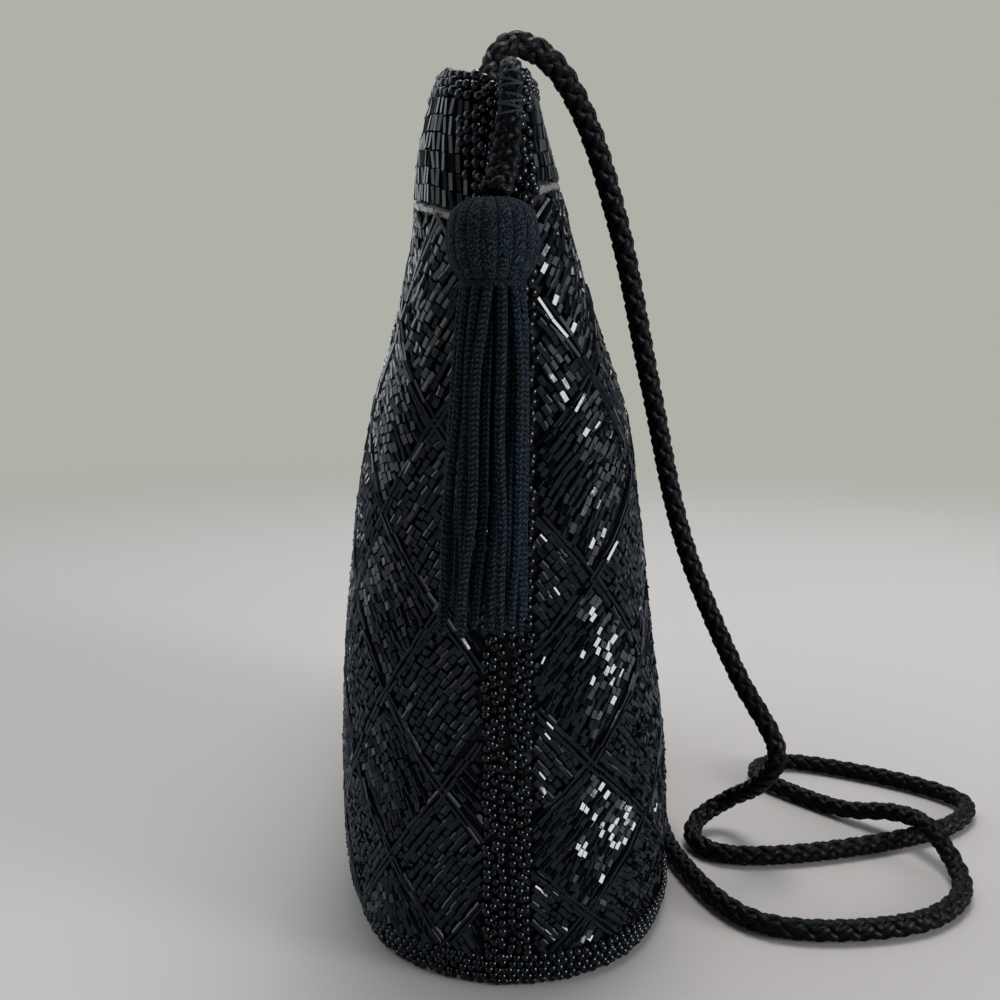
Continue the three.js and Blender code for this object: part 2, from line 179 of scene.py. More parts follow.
# The strap: a limp round rope of eight satin strands, four braided each way.
# It is sewn inside the mouth at both seams, hangs down the back panel and lies in loose loops on the floor.
MM = 0.001
STRAP_TURN = 21.0 * MM
STRAP_STEP = 0.6 * MM
STRAP_STRAND = (1.25 * MM, 0.74 * MM)
STRAP_RING = 1.60 * MM
STRAND_LIFT = 0.5
STRAND_SIDES = 6
SPAN_STEPS = 60
FIBRE_NOISE = 1.3
FIBRE_BEND = 0.22
FIBRE_RELIEF = (0.5, 0.05 * MM)
STRAP_ROUTE = MM * np.array([
    (-1.4, -101.5, 174), (-3.4, -90.4, 191.4), (0.6, -86.2, 198.4),
    (7.6, -80.6, 197.8), (16.4, -67.5, 189.6),
    (26, -53, 168), (36.5, -37, 131), (47.8, -28.2, 89), (62, -31.6, 54.6), (72.2, -37.6, 34.5),
    (70.8, -27, 20.5), (65.2, -14.2, 9.8), (56.6, -16.2, 5), (53.4, -24.4, 3), (58.8, -32.2, 2.8),
    (79, -33.2, 2.8), (130, -16.2, 2.8), (140.5, -2, 2.8), (131, 11.5, 2.8), (95.6, 29.4, 2.8),
    (85.4, 26.2, 2.8), (82.2, 18, 2.8), (87.4, 9.6, 2.8), (102, -6.6, 3.2), (113, -17.8, 7.4),
    (117.6, -27.8, 8.7), (120.2, -41.8, 3.6), (115.2, -55, 2.8), (98, -67, 2.8), (61.6, -66.4, 2.8),
    (46.8, -34, 2.8), (46.8, 10, 2.8), (47.8, 38, 5), (46, 56, 27), (34, 66, 120),
    (16.4, 67.5, 189.6), (7.6, 80.6, 197.8), (0.6, 86.2, 198.4), (-3.4, 90.4, 191.4), (-1.4, 101.5, 174),
])


def unit(vectors):
    """Each vector divided by its length."""
    return vectors / np.linalg.norm(vectors, axis=-1, keepdims=True)


def smooth_route(points, step):
    """A centripetal Catmull-Rom curve through the points, at even steps. Each span is a cubic whose end
    slopes come from the neighbouring points, weighted by the square roots of their distances."""
    ends = np.vstack([2 * points[0] - points[1], points, 2 * points[-1] - points[-2]])
    p0, p1, p2, p3 = ends[:-3], ends[1:-2], ends[2:-1], ends[3:]
    spans = ((p0, p1), (p1, p2), (p2, p3))
    d0, d1, d2 = (np.linalg.norm(b - a, axis=1, keepdims=True) ** 0.5 for a, b in spans)
    slope1 = ((p1 - p0) / d0 - (p2 - p0) / (d0 + d1) + (p2 - p1) / d1) * d1
    slope2 = ((p2 - p1) / d1 - (p3 - p1) / (d1 + d2) + (p3 - p2) / d2) * d1
    t = np.linspace(0, 1, SPAN_STEPS, endpoint=False)[None, :, None]
    p1, p2, slope1, slope2 = (value[:, None] for value in (p1, p2, slope1, slope2))
    square = 3 * (p2 - p1) - 2 * slope1 - slope2
    cube = 2 * (p1 - p2) + slope1 + slope2
    cubic = p1 + slope1 * t + square * t**2 + cube * t**3
    line = np.vstack([cubic.reshape(-1, 3), points[-1]])
    along = np.r_[0, np.cumsum(np.linalg.norm(np.diff(line, axis=0), axis=1))]
    even = np.linspace(0, along[-1], math.ceil(along[-1] / step) + 1)
    return np.stack([np.interp(even, along, line[:, k]) for k in range(3)], axis=1)


def carried_axes(line, first):
    """Two unit axes across a line, carried along it from a first direction without twisting."""
    tangent = unit(np.gradient(line, axis=0))
    side = np.empty_like(line)
    latest = np.array(first, float)
    for i, direction in enumerate(tangent):
        latest = unit(latest - direction * (direction @ latest))
        side[i] = latest
    return side, np.cross(tangent, side)


def tubes(centres, across, out, half_width, half_thickness, sides):
    """Closed oval tubes, one for each row of centres. The ring at a step is the cosine of a full turn times
    the width along one axis plus the sine times the thickness along the other. Gives points, triangles and
    UVs."""
    count, steps = centres.shape[:2]
    turn = 2 * np.pi * np.arange(sides) / sides
    wide = np.broadcast_to(half_width, (count, steps))[..., None, None] * np.cos(turn)[:, None]
    thick = np.broadcast_to(half_thickness, (count, steps))[..., None, None] * np.sin(turn)[:, None]
    points = centres[:, :, None] + across[:, :, None] * wide + out[:, :, None] * thick
    index = np.arange(count * steps * sides).reshape(count, steps, sides)
    a, c = index[:, :-1], index[:, 1:]
    b, d = np.roll(a, -1, axis=2), np.roll(c, -1, axis=2)
    walls = np.stack([np.stack([a, b, d], -1), np.stack([a, d, c], -1)], axis=-2).reshape(-1, 3)
    fan = np.arange(1, sides - 1)
    near, far = index[:, 0], index[:, -1]
    near_cap = np.stack([near[:, :1] + 0 * fan, near[:, fan + 1], near[:, fan]], -1).reshape(-1, 3)
    far_cap = np.stack([far[:, :1] + 0 * fan, far[:, fan], far[:, fan + 1]], -1).reshape(-1, 3)
    lengths = np.linalg.norm(np.diff(centres, axis=1), axis=2)
    along = np.concatenate([np.zeros((count, 1)), np.cumsum(lengths, axis=1)], axis=1) / MM
    u = np.broadcast_to(along[..., None], index.shape)
    v = np.broadcast_to(np.arange(sides) / sides, index.shape)
    step = 1 / sides
    low, high = u[:, :-1], u[:, 1:]
    left, right = v[:, :-1], v[:, :-1] + step
    first = np.stack([low, left, low, right, high, right], -1)
    second = np.stack([low, left, high, right, high, left], -1)
    wall_uv = np.stack([first, second], axis=-2).reshape(-1, 2)
    cap_uv = np.zeros(((len(near_cap) + len(far_cap)) * 3, 2))
    faces = np.vstack([walls, near_cap, far_cap])
    return points.reshape(-1, 3), faces, np.vstack([wall_uv, cap_uv])


def add_piece(name, points, faces, material, uv=None, tone=None, smooth=True):
    """A mesh object from points and triangles, turned the right way out, that rides on the bag. It may
    carry a UV for each corner and a shade for each point."""
    corners = points[faces]
    volume = np.einsum("ij,ij->", corners[:, 0], np.cross(corners[:, 1], corners[:, 2]))
    if volume < 0:
        faces = faces[:, ::-1]
        uv = None if uv is None else uv.reshape(-1, 3, 2)[:, ::-1].reshape(-1, 2)
    mesh = bpy.data.meshes.new(name)
    mesh.vertices.add(len(points))
    mesh.vertices.foreach_set("co", points.astype(np.float32).ravel())
    mesh.loops.add(faces.size)
    mesh.loops.foreach_set("vertex_index", np.ascontiguousarray(faces, np.int32).ravel())
    mesh.polygons.add(len(faces))
    mesh.polygons.foreach_set("loop_start", np.arange(0, faces.size, 3, dtype=np.int32))
    mesh.polygons.foreach_set("use_smooth", np.resize(smooth, len(faces)))
    if uv is not None:
        mesh.uv_layers.new(name="UVMap").data.foreach_set("uv", uv.astype(np.float32).ravel())
    if tone is not None:
        mesh.attributes.new("tone", "FLOAT", "POINT").data.foreach_set("value", tone.astype(np.float32))
    mesh.update(calc_edges=True)
    mesh.materials.append(material)
    piece = bpy.data.objects.new(name, mesh)
    bpy.context.scene.collection.objects.link(piece)
    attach(piece, "root")
    return piece


def braid(line, side, out, half_width, half_thickness, turn, strand):
    """Eight strands round a line, four each way. A strand's angle grows steadily with the length, and it
    climbs over and dips under those that run the other way, by the cosine of four times that angle."""
    length = np.r_[0, np.cumsum(np.linalg.norm(np.diff(line, axis=0), axis=1))]
    theta = 2 * np.pi * length / turn
    hand = np.repeat([1.0, -1.0], 4)[:, None]
    angle = hand * theta + np.tile(np.arange(4), 2)[:, None] * np.pi / 2
    lift = hand * np.cos(4 * theta) * STRAND_LIFT * strand[1]
    spread = ((half_width + lift) * np.cos(angle))[..., None]
    depth = ((half_thickness + lift) * np.sin(angle))[..., None]
    centres = line + side * spread + out * depth
    outward = unit(side * np.cos(angle)[..., None] + out * np.sin(angle)[..., None])
    tangent = unit(np.gradient(centres, axis=1))
    across = unit(np.cross(outward, tangent))
    outward = np.cross(tangent, across)
    return tubes(centres, across, outward, *strand, STRAND_SIDES)


def new_group(name, inputs, outputs):
    """An empty shader node group with the sockets asked for, as (group, given sockets, result node)."""
    group = bpy.data.node_groups.new(name, "ShaderNodeTree")
    for way, sockets in (("INPUT", inputs), ("OUTPUT", outputs)):
        for socket, kind in sockets.items():
            group.interface.new_socket(socket, in_out=way, socket_type=f"NodeSocket{kind}")
    given = group.nodes.new("NodeGroupInput")
    return group, given.outputs, group.nodes.new("NodeGroupOutput")


def noise(tree, place, scale, detail=2.0):
    """Soft noise of a scale, from nought to one."""
    inputs = {"Vector": place, "Scale": scale, "Detail": detail}
    return add_node(tree, "TexNoise", inputs).outputs["Fac"]


# The Shade socket carries painted shade: darker where the relief is low, lighter where it is high.
RELIEF_SOCKETS = {"Height": "Float", "Shade": "Float"}


def fibre_group():
    """Fine threads that lie along a strand: a wave across the UV, bent a little by noise. Puts out its
    height and a painted shade that is darker between the threads, where shade falls."""
    group, given, result = new_group("fibre_lines", {"Threads": "Float"}, RELIEF_SOCKETS)
    uv = add_node(group, "UVMap").outputs["UV"]
    girth = add_node(group, "SeparateXYZ", {0: uv}).outputs["Y"]
    bent = maths(group, "MULTIPLY_ADD", noise(group, uv, FIBRE_NOISE), FIBRE_BEND, girth)
    lines = maths(group, "MULTIPLY", bent, given["Threads"])
    wave = maths(group, "SINE", maths(group, "MULTIPLY", lines, 2 * math.pi))
    feed(group, result, {"Height": wave, "Shade": ranged(group, wave, -1.0, 1.0)})
    return group


def textile(name, pattern, counts, dark, light, relief, finish):
    """Yarn or cloth: the shade of a pattern mixes two colours, so that the surface is painted darker where
    the pattern is low, as painted shade; its height raises the surface by a strength and a distance, and
    the finish is set on the shader."""
    material, tree, shader = new_material(name)
    made = add_node(tree, "Group", node_tree=pattern)
    feed(tree, made, counts)
    colour = mixed(tree, made.outputs["Shade"], (*dark, 1.0), (*light, 1.0))
    strength, distance = relief
    raised = {"Strength": strength, "Distance": distance, "Height": made.outputs["Height"]}
    bump = add_node(tree, "Bump", raised)
    feed(tree, shader, {"Base Color": colour, "Normal": bump.outputs["Normal"]})
    feed(tree, shader, finish)
    return material


fibre_lines = fibre_group()
# The rope's colour is painted darker between the fine threads of each strand: painted shade.
rope_satin = textile(
    "rope_satin",
    fibre_lines,
    {"Threads": 9.0},
    dark=(0.0014, 0.0015, 0.0019),
    light=(0.005, 0.0055, 0.0068),
    relief=FIBRE_RELIEF,
    finish={"Roughness": 0.40, "Specular IOR Level": 0.12},
)
strap_line = smooth_route(STRAP_ROUTE, STRAP_STEP)
strap_side, strap_out = carried_axes(strap_line, (1.0, 0.0, 0.0))
strap_mesh = braid(strap_line, strap_side, strap_out, STRAP_RING, STRAP_RING, STRAP_TURN, STRAP_STRAND)
strap = add_piece("strap_rope", strap_mesh[0], strap_mesh[1], rope_satin, uv=strap_mesh[2])
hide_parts("strap")

# The panels: two pieces of plain black cloth that make the walls of the pouch, sewn to the base and to each
# other. Their shape is a table of level sections, and the beads are sewn on their outer face.
CLOTH_FACE = -1.5 * MM
CLOTH_BACK = -2.0 * MM
STRIP_HALF = 5.0 * MM
MOUTH_MIDDLE = 194.0 * MM
MOUTH_NOTCH = 186.5 * MM
MOUTH_DIP_POWER = 3.4
FRONT = -1
BACK = 1
SECTIONS = np.array([
    # height, front half depth, back half depth, half length, fullness of the ends, flatness of the ends
    (0, 39.0, 39.0, 86.0, 4.3, 0.50),
    (8, 42.0, 42.0, 88.0, 4.3, 0.50),
    (35, 42.9, 42.2, 89.0, 4.4, 0.50),
    (70, 40.8, 37.4, 92.0, 4.8, 0.49),
    (100, 36.8, 32.7, 96.0, 5.4, 0.47),
    (125, 31.7, 28.3, 100.0, 6.2, 0.455),
    (145, 25.3, 20.6, 103.0, 7.2, 0.44),
    (162, 20.7, 14.2, 105.5, 8.2, 0.43),
    (178, 18.9, 9.3, 107.0, 9.0, 0.42),
    (198, 12.5, 2.6, 108.0, 9.0, 0.42),
])


def section(column, z):
    """A column of the table at height z: a cubic between rows, with slopes across neighbouring rows."""
    height, value = SECTIONS[:, 0], SECTIONS[:, column]
    inner = (value[2:] - value[:-2]) / (height[2:] - height[:-2])
    first = (value[1] - value[0]) / height[1]
    last = (value[-1] - value[-2]) / (height[-1] - height[-2])
    slope = np.r_[first, inner, last]
    i = np.clip(np.searchsorted(height, z) - 1, 0, len(height) - 2)
    h = height[i + 1] - height[i]
    t = (z - height[i]) / h
    low = (1 + 2 * t) * (1 - t) ** 2 * value[i] + t * (1 - t) ** 2 * h * slope[i]
    return low + t**2 * (3 - 2 * t) * value[i + 1] + t**2 * (t - 1) * h * slope[i + 1]


def skin(side, u, z):
    """The pouch's outer skin. Along the bag it is a sine of u, and its depth is the half depth times a
    power of one less the fullness power of that sine."""
    level = z / MM
    along = np.sin(np.pi / 2 * u)
    depth = section(1 if side == FRONT else 2, level)
    fill = np.maximum(1 - np.abs(along) ** section(4, level), 0)
    x = side * depth * fill ** section(5, level)
    return MM * np.stack([x, section(3, level) * along, level], axis=-1)


CHART_LEVELS = np.linspace(0, 197, 100) * MM
CHART_SHARES = np.linspace(0, 1, 401)
CHART_STEPS = 1601
CHART_END = 1.001
WALL_END = 0.999
WALL_NUDGE = 5e-4


def wall_chart(side):
    """For each level, the values of u at even shares of the way round the wall from the near seam to the
    far one, and the whole way round."""
    u = np.linspace(-1, 1, CHART_STEPS)
    line = skin(side, u[None], CHART_LEVELS[:, None] + 0 * u)
    way = np.cumsum(np.linalg.norm(np.diff(line, axis=1), axis=2), axis=1)
    way = np.concatenate([np.zeros((len(way), 1)), way], axis=1)
    stations = np.stack([np.interp(CHART_SHARES * w[-1], w, u) for w in way])
    return stations, way[:, -1]


charts = {side: wall_chart(side) for side in (FRONT, BACK)}


def station(side, share, z):
    """The value of u a share of the way round the wall at height z, between the chart's four nearest."""
    stations, _ = charts[side]
    row = np.clip(z / CHART_LEVELS[1], 0, len(CHART_LEVELS) - CHART_END)
    column = np.clip(share / CHART_SHARES[1], 0, len(CHART_SHARES) - CHART_END)
    i, j = row.astype(int), column.astype(int)
    a, b = row - i, column - j
    near = stations[i, j] * (1 - b) + stations[i, j + 1] * b
    far = stations[i + 1, j] * (1 - b) + stations[i + 1, j + 1] * b
    return near * (1 - a) + far * a


def way_round(side, z):
    """The distance round the wall from seam to seam at height z."""
    return np.interp(z, CHART_LEVELS, charts[side][1])


def mouth_height(side, share):
    """The mouth's height: level along the middle, with a dip to a notch at each seam by a power of u."""
    u = station(side, share, MOUTH_NOTCH + 0 * share)
    return MOUTH_MIDDLE - (MOUTH_MIDDLE - MOUTH_NOTCH) * np.abs(u) ** MOUTH_DIP_POWER


def on_wall(side, share, z, lift):
    """Points on the wall, moved out along its normal by a lift, and that normal. The normal is the cross
    product of the steps along the wall and up it."""
    u = np.clip(station(side, share, z), -WALL_END, WALL_END)
    along = skin(side, u + WALL_NUDGE, z) - skin(side, u - WALL_NUDGE, z)
    up = skin(side, u, z + WALL_NUDGE * MM) - skin(side, u, z - WALL_NUDGE * MM)
    normal = side * unit(np.cross(along, up))
    return skin(side, u, z) + normal * np.asarray(lift)[..., None], normal


def shell(outside, inside):
    """A closed wall between two grids of points, edges filled, as points, triangles and UVs in mm."""
    rows, columns = outside.shape[:2]
    points = np.concatenate([outside.reshape(-1, 3), inside.reshape(-1, 3)])
    index = np.arange(2 * rows * columns).reshape(2, rows, columns)
    face, back = index
    quads = [np.stack([face[:-1, :-1], face[1:, :-1], face[1:, 1:], face[:-1, 1:]], -1).reshape(-1, 4)]
    quads.append(np.stack([back[:-1, :-1], back[:-1, 1:], back[1:, 1:], back[1:, :-1]], -1).reshape(-1, 4))
    face_edges = (face[:, 0], face[::-1, -1], face[0, ::-1], face[-1])
    back_edges = (back[:, 0], back[::-1, -1], back[0, ::-1], back[-1])
    for edge, under in zip(face_edges, back_edges):
        quads.append(np.stack([edge[:-1], under[:-1], under[1:], edge[1:]], -1))
    quads = np.concatenate(quads)
    faces = np.concatenate([quads[:, [0, 1, 2]], quads[:, [0, 2, 3]]])
    across = np.cumsum(np.linalg.norm(np.diff(outside, axis=0, prepend=outside[:1]), axis=2), axis=0)
    up = np.cumsum(np.linalg.norm(np.diff(outside, axis=1, prepend=outside[:, :1]), axis=2), axis=1)
    chart = np.tile(np.stack([across, up], -1).reshape(-1, 2) / MM, (2, 1))
    return points, faces, chart[faces.ravel()]


def weave_group():
    """Plain weave: threads of two crossing directions that pass over each other in turn, as a product of
    sines of the UV. Puts out its height and a painted shade that is darker where the weave is low."""
    group, given, result = new_group("plain_weave", {"Threads per mm": "Float"}, RELIEF_SOCKETS)
    threads = {0: add_node(group, "UVMap").outputs["UV"], "Scale": given["Threads per mm"]}
    scaled = add_node(group, "VectorMath", threads, operation="SCALE").outputs["Vector"]
    half_turns = {0: scaled, "Scale": math.pi}
    turned = add_node(group, "VectorMath", half_turns, operation="SCALE").outputs["Vector"]
    waves = add_node(group, "VectorMath", {0: turned}, operation="SINE").outputs["Vector"]
    split = add_node(group, "SeparateXYZ", {0: waves}).outputs
    crossed = maths(group, "MULTIPLY", split["X"], split["Y"])
    feed(group, result, {"Height": crossed, "Shade": ranged(group, crossed, -1.0, 1.0)})
    return group


# The cloth's colour is painted darker where the weave dips: painted shade.
black_cloth = textile(
    "black_cloth",
    weave_group(),
    {"Threads per mm": 2.2},
    dark=(0.003, 0.003, 0.004),
    light=(0.010, 0.010, 0.013),
    relief=(0.6, 0.1 * MM),
    finish={"Roughness": 0.85, "Sheen Weight": 0.2},
)
PANEL_FOOT = 3.0 * MM
PANEL_TUCK = 1.2 * MM
PANEL_OVERLAP = 0.4 * MM
PANEL_STATIONS = 90
PANEL_LEVELS = 64
panel_names = {FRONT: "front", BACK: "back"}
for side, name in panel_names.items():
    spread = 0.5 - 0.5 * np.cos(np.linspace(0, np.pi, PANEL_STATIONS))
    rise = np.linspace(0, 1, PANEL_LEVELS)
    share, climb = np.meshgrid(spread, rise, indexing="ij")
    top = mouth_height(side, share) - PANEL_TUCK
    height = PANEL_FOOT + (top - PANEL_FOOT) * climb
    edge = (STRIP_HALF - PANEL_OVERLAP) / way_round(side, height)
    share = edge + (1 - 2 * edge) * share
    face, _ = on_wall(side, share, height, CLOTH_FACE + 0 * height)
    back, _ = on_wall(side, share, height, CLOTH_BACK + 0 * height)
    points, faces, uv = shell(face, back)
    add_piece(f"{name}_cloth", points, faces, black_cloth, uv=uv)
    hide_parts(f"{name}_panel")

# The bead strings of the panels: a lattice of upright diamonds, filled with parallel strings of two-cut
# beads of black glass. The strings slant one way in one diamond and the other way in the next, and double
# rows of thin bugles part them.
HALF_DIAMONDS = {FRONT: 16, BACK: 12}
CROSSING_COUNTS = np.arange(-2, 7)
CROSSING_HEIGHTS = {
    # heights of the lattice's crossings on the seam's own line of diamonds
    FRONT: np.array([-65.0, -28.0, 9.0, 46.0, 87.0, 126.0, 165.0, 204.0, 243.0]) * MM,
    BACK: np.array([-55.0, -19.5, 16.0, 51.5, 93.5, 135.5, 177.5, 219.5, 261.5]) * MM,
}
STRINGS = {FRONT: 12, BACK: 15}
STRING_BEADS = {FRONT: 10, BACK: 12}
STRING_BOW = 0.07
BOW_SPREAD = 0.4 * STRING_BOW
STRING_SLIP = 0.04
STRING_UNEVEN = 0.012
LATTICE_START = -13
LATTICE_END = 35
FILL_LENGTH = 2.04 * MM
FILL_WIDTH = 1.58 * MM
FILL_SPREAD = 0.07
FILL_SINK = -0.80 * MM
ROLL_HEIGHTS = np.array([20.0, 45.0, 70.0, 120.0, 145.0, 170.0]) * MM
LEVEL_ROLLS = np.zeros(6)
FILL_ROLLS = {
    # common roll by height of the strings that rise towards the far seam, and of those that fall towards it
    FRONT: np.array([(-0.42, -0.38, -0.30, -0.18, 0.0, 0.15), LEVEL_ROLLS]),
    BACK: np.array([(0.42, 0.38, 0.30, 0.12, -0.05, -0.05), LEVEL_ROLLS]),
}
FILL_LEANED = {FRONT: 0.4, BACK: -0.4}
FILL_TILTS = (0.05, 0.13, 0.22)
OUTLINE_LENGTH = 4.9 * MM
OUTLINE_WIDTH = 1.0 * MM
OUTLINE_BUGLES = {FRONT: 5, BACK: 6}
OUTLINE_APART = 0.048
OUTLINE_SINK = -0.40 * MM
OUTLINE_STAGGER = 0.03
OUTLINE_UNEVEN = 0.008
BUGLE_SPREAD = 0.04
OUTLINE_TILTS = (0.03, 0.05, 0.20)
SEWN_UNEVEN = 0.07 * MM
LATTICE_NUDGE = 0.02
LINE_SHARE = 0.095
FIELD_FOOT = 8.4 * MM
STRIP_CLEAR = 5.9 * MM
SILVER_MIDDLE = 174.0 * MM
SILVER_DIP = {FRONT: (13.0 * MM, 1.6), BACK: (8.0 * MM, 2.5)}
SILVER_CLEAR = 1.75 * MM
shake = np.random.default_rng(41)


def silver_height(side, share):
    """The height of the silver row: level along the middle, and lower towards the seams by a power of u."""
    drop, power = SILVER_DIP[side]
    return SILVER_MIDDLE - drop * np.abs(station(side, share, SILVER_MIDDLE + 0 * share)) ** power


def cut_bead(across, up):
    """A bar of unit length along its first axis, whose section is a ring of corners across it and up."""
    sides = len(across)
    ring = np.stack([np.zeros(sides), across, up], axis=1)
    points = np.concatenate([ring - (0.5, 0, 0), ring + (0.5, 0, 0)])
    k = np.arange(sides)
    after = (k + 1) % sides
    walls = [np.stack([k, after, after + sides], 1), np.stack([k, after + sides, k + sides], 1)]
    fan = np.arange(1, sides - 1)
    near_cap = np.stack([0 * fan, fan + 1, fan], 1)
    return points, np.concatenate([*walls, near_cap, sides + near_cap[:, ::-1]])


def sewn(bead, centres, axis, normal, size, wobble, lean, roll, leaned=0.0, rolled=0.0):
    """A bead shape repeated at centres, laid along an axis and turned to a normal, each with its own size.
    Small random tilts about a common lean and roll make the rows uneven, as sewing does. Gives points,
    triangles and a shade for each point."""
    count = len(centres)
    shape, faces = bead
    axis = unit(axis - normal * np.sum(axis * normal, axis=1, keepdims=True))
    cross = np.cross(normal, axis)
    tilt = shake.normal(0, 1, (count, 3)) * (wobble, lean, roll)
    tilt[:, 1] += leaned
    tilt[:, 2] += rolled
    axis = unit(axis + cross * tilt[:, :1] + normal * tilt[:, 1:2])
    normal = normal + cross * tilt[:, 2:]
    normal = unit(normal - axis * np.sum(axis * normal, axis=1, keepdims=True))
    cross = np.cross(normal, axis)
    placed = shape[None] * size[:, None]
    points = centres[:, None] + placed[..., :1] * axis[:, None] + placed[..., 1:2] * cross[:, None]
    points = points + placed[..., 2:] * normal[:, None]
    faces = (faces[None] + len(shape) * np.arange(count)[:, None, None]).reshape(-1, 3)
    return points.reshape(-1, 3), faces, np.repeat(shake.random(count), len(shape))


def lattice_place(side, m, n):
    """Share of the way round the wall and height for the lattice's two slanting counts: their mean is the
    number of half diamonds from the near seam, and a quarter of their difference the number of crossings up
    from the foot."""
    height = np.interp((m - n) / 4, CROSSING_COUNTS, CROSSING_HEIGHTS[side])
    return (m + n) / 2 / HALF_DIAMONDS[side], height


def sewn_on_lattice(side, bead, m, n, m_step, n_step, size, sink, *tilts, leaned=0.0, rolls=LEVEL_ROLLS):
    """Beads at lattice counts, each laid along the way that those counts grow, left out beyond the field's
    edges. Their common roll on the thread goes by their height."""
    share, height = lattice_place(side, m, n)
    clear = STRIP_CLEAR / way_round(side, height)
    kept = (height > FIELD_FOOT) & (height < SILVER_MIDDLE) & (share > clear) & (share < 1 - clear)
    kept &= height < silver_height(side, np.clip(share, 0, 1)) - SILVER_CLEAR
    m, n, size = m[kept], n[kept], size[kept]
    share, height = share[kept], height[kept]
    m_step, n_step = (LATTICE_NUDGE * np.broadcast_to(step, kept.shape)[kept] for step in (m_step, n_step))
    centres, normal = on_wall(side, share, height, sink + shake.normal(0, SEWN_UNEVEN, len(share)))
    ahead, _ = on_wall(side, *lattice_place(side, m + m_step, n + n_step), sink + 0 * share)
    behind, _ = on_wall(side, *lattice_place(side, m - m_step, n - n_step), sink + 0 * share)
    rolled = np.interp(height, ROLL_HEIGHTS, rolls)
    return sewn(bead, centres, ahead - behind, normal, size, *tilts, leaned * rolled, rolled)


def uneven(count, length, width, spread):
    """Bead sizes along, across and up, with a little chance in each."""
    return np.array([length, width, width]) * (1 + shake.normal(0, spread, (count, 3)))


GLASS_IOR = 1.5
GLASS_SMUDGES = 260.0
GLASS_WAVES = 900.0


def glass_group():
    """Pressed glass: a colour and a roughness between two ends by the bead's own shade, and faint waves
    in the surface from noise. Puts out the colour, the roughness and the normal."""
    group, given, result = new_group(
        "bead_glass",
        {"Dark": "Color", "Light": "Color", "Smooth": "Float", "Dull": "Float"},
        {"Colour": "Color", "Roughness": "Float", "Normal": "Vector"},
    )
    tone = add_node(group, "Attribute", attribute_name="tone").outputs["Fac"]
    place = add_node(group, "TexCoord").outputs["Object"]
    smudged = maths(group, "MULTIPLY", tone, noise(group, place, GLASS_SMUDGES, 3.0))
    waves = noise(group, place, GLASS_WAVES)
    relief = add_node(group, "Bump", {"Strength": 0.25, "Distance": 0.05 * MM, "Height": waves})
    feed(group, result, {
        "Colour": mixed(group, tone, given["Dark"], given["Light"]),
        "Roughness": ranged(group, smudged, 0.0, 1.0, given["Smooth"], given["Dull"]),
        "Normal": relief.outputs["Normal"],
    })
    return group


bead_glass = glass_group()


def glass_material(name, dark, light, smooth, dull):
    """Glass beads whose colour and gloss differ a little from one to the next."""
    material, tree, shader = new_material(name)
    ends = {"Dark": (*dark, 1.0), "Light": (*light, 1.0), "Smooth": smooth, "Dull": dull}
    glass = add_node(tree, "Group", node_tree=bead_glass)
    feed(tree, glass, ends)
    colour, roughness, normal = glass.outputs
    feed(tree, shader, {"Base Color": colour, "Roughness": roughness, "Normal": normal, "IOR": GLASS_IOR})
    return material


black_glass = glass_material("black_glass", (0.0008, 0.0012, 0.0020), (0.004, 0.0055, 0.009), 0.04, 0.20)
six_turns = np.pi / 6 + np.pi / 3 * np.arange(6)
cut_shape = cut_bead(np.sin(six_turns) / math.sqrt(3), np.cos(six_turns) / math.sqrt(3))
flat_across = np.array([0.30, 0.5, 0.5, 0.30, -0.30, -0.5, -0.5, -0.30])
flat_up = np.array([0.38, 0.20, -0.20, -0.38, -0.38, -0.20, 0.20, 0.38])
flat_shape = cut_bead(flat_across, flat_up)


def filled_diamonds(side, first_way):
    """The fill of every other diamond of a panel. Along a string one slanting count grows and the other
    stays, and each string bows upwards, by a parabola of its length."""
    reach = np.arange(LATTICE_START + 1, LATTICE_END - 1, 2)
    m_middle, n_middle = (grid.ravel() for grid in np.meshgrid(reach, reach, indexing="ij"))
    kind = ((m_middle - n_middle) // 2) % 2 == (1 if first_way else 0)
    m_middle, n_middle = m_middle[kind], n_middle[kind]
    inside = 1 - LINE_SHARE
    across = inside * (2 * (np.arange(STRINGS[side]) + 0.5) / STRINGS[side] - 1)
    along = inside * (2 * (np.arange(STRING_BEADS[side]) + 0.5) / STRING_BEADS[side] - 1)
    cell, string, bead = np.meshgrid(np.arange(len(m_middle)), across, along, indexing="ij")
    along_m = first_way == (side == BACK)
    bow = shake.normal(STRING_BOW, BOW_SPREAD, len(m_middle))[cell] * (-1 if along_m else 1)
    slip = shake.normal(0, STRING_SLIP, (len(m_middle), STRINGS[side], 1))
    slope = (-2 * bow * bead).ravel()
    bead, string = (bead + slip).ravel(), (string + bow * (1 - bead**2)).ravel()
    string = string + shake.normal(0, STRING_UNEVEN, len(string))
    cell = cell.ravel()
    m = m_middle[cell] + (bead if along_m else string)
    n = n_middle[cell] + (string if along_m else bead)
    size = uneven(len(m), FILL_LENGTH, FILL_WIDTH, FILL_SPREAD)
    ways = (1, slope) if along_m else (slope, 1)
    leaned = FILL_LEANED[side] * (1 if along_m else -1)
    rolls = FILL_ROLLS[side][0 if along_m else 1]
    tilts = {"leaned": leaned, "rolls": rolls}
    return sewn_on_lattice(side, flat_shape, m, n, *ways, size, FILL_SINK, *FILL_TILTS, **tilts)


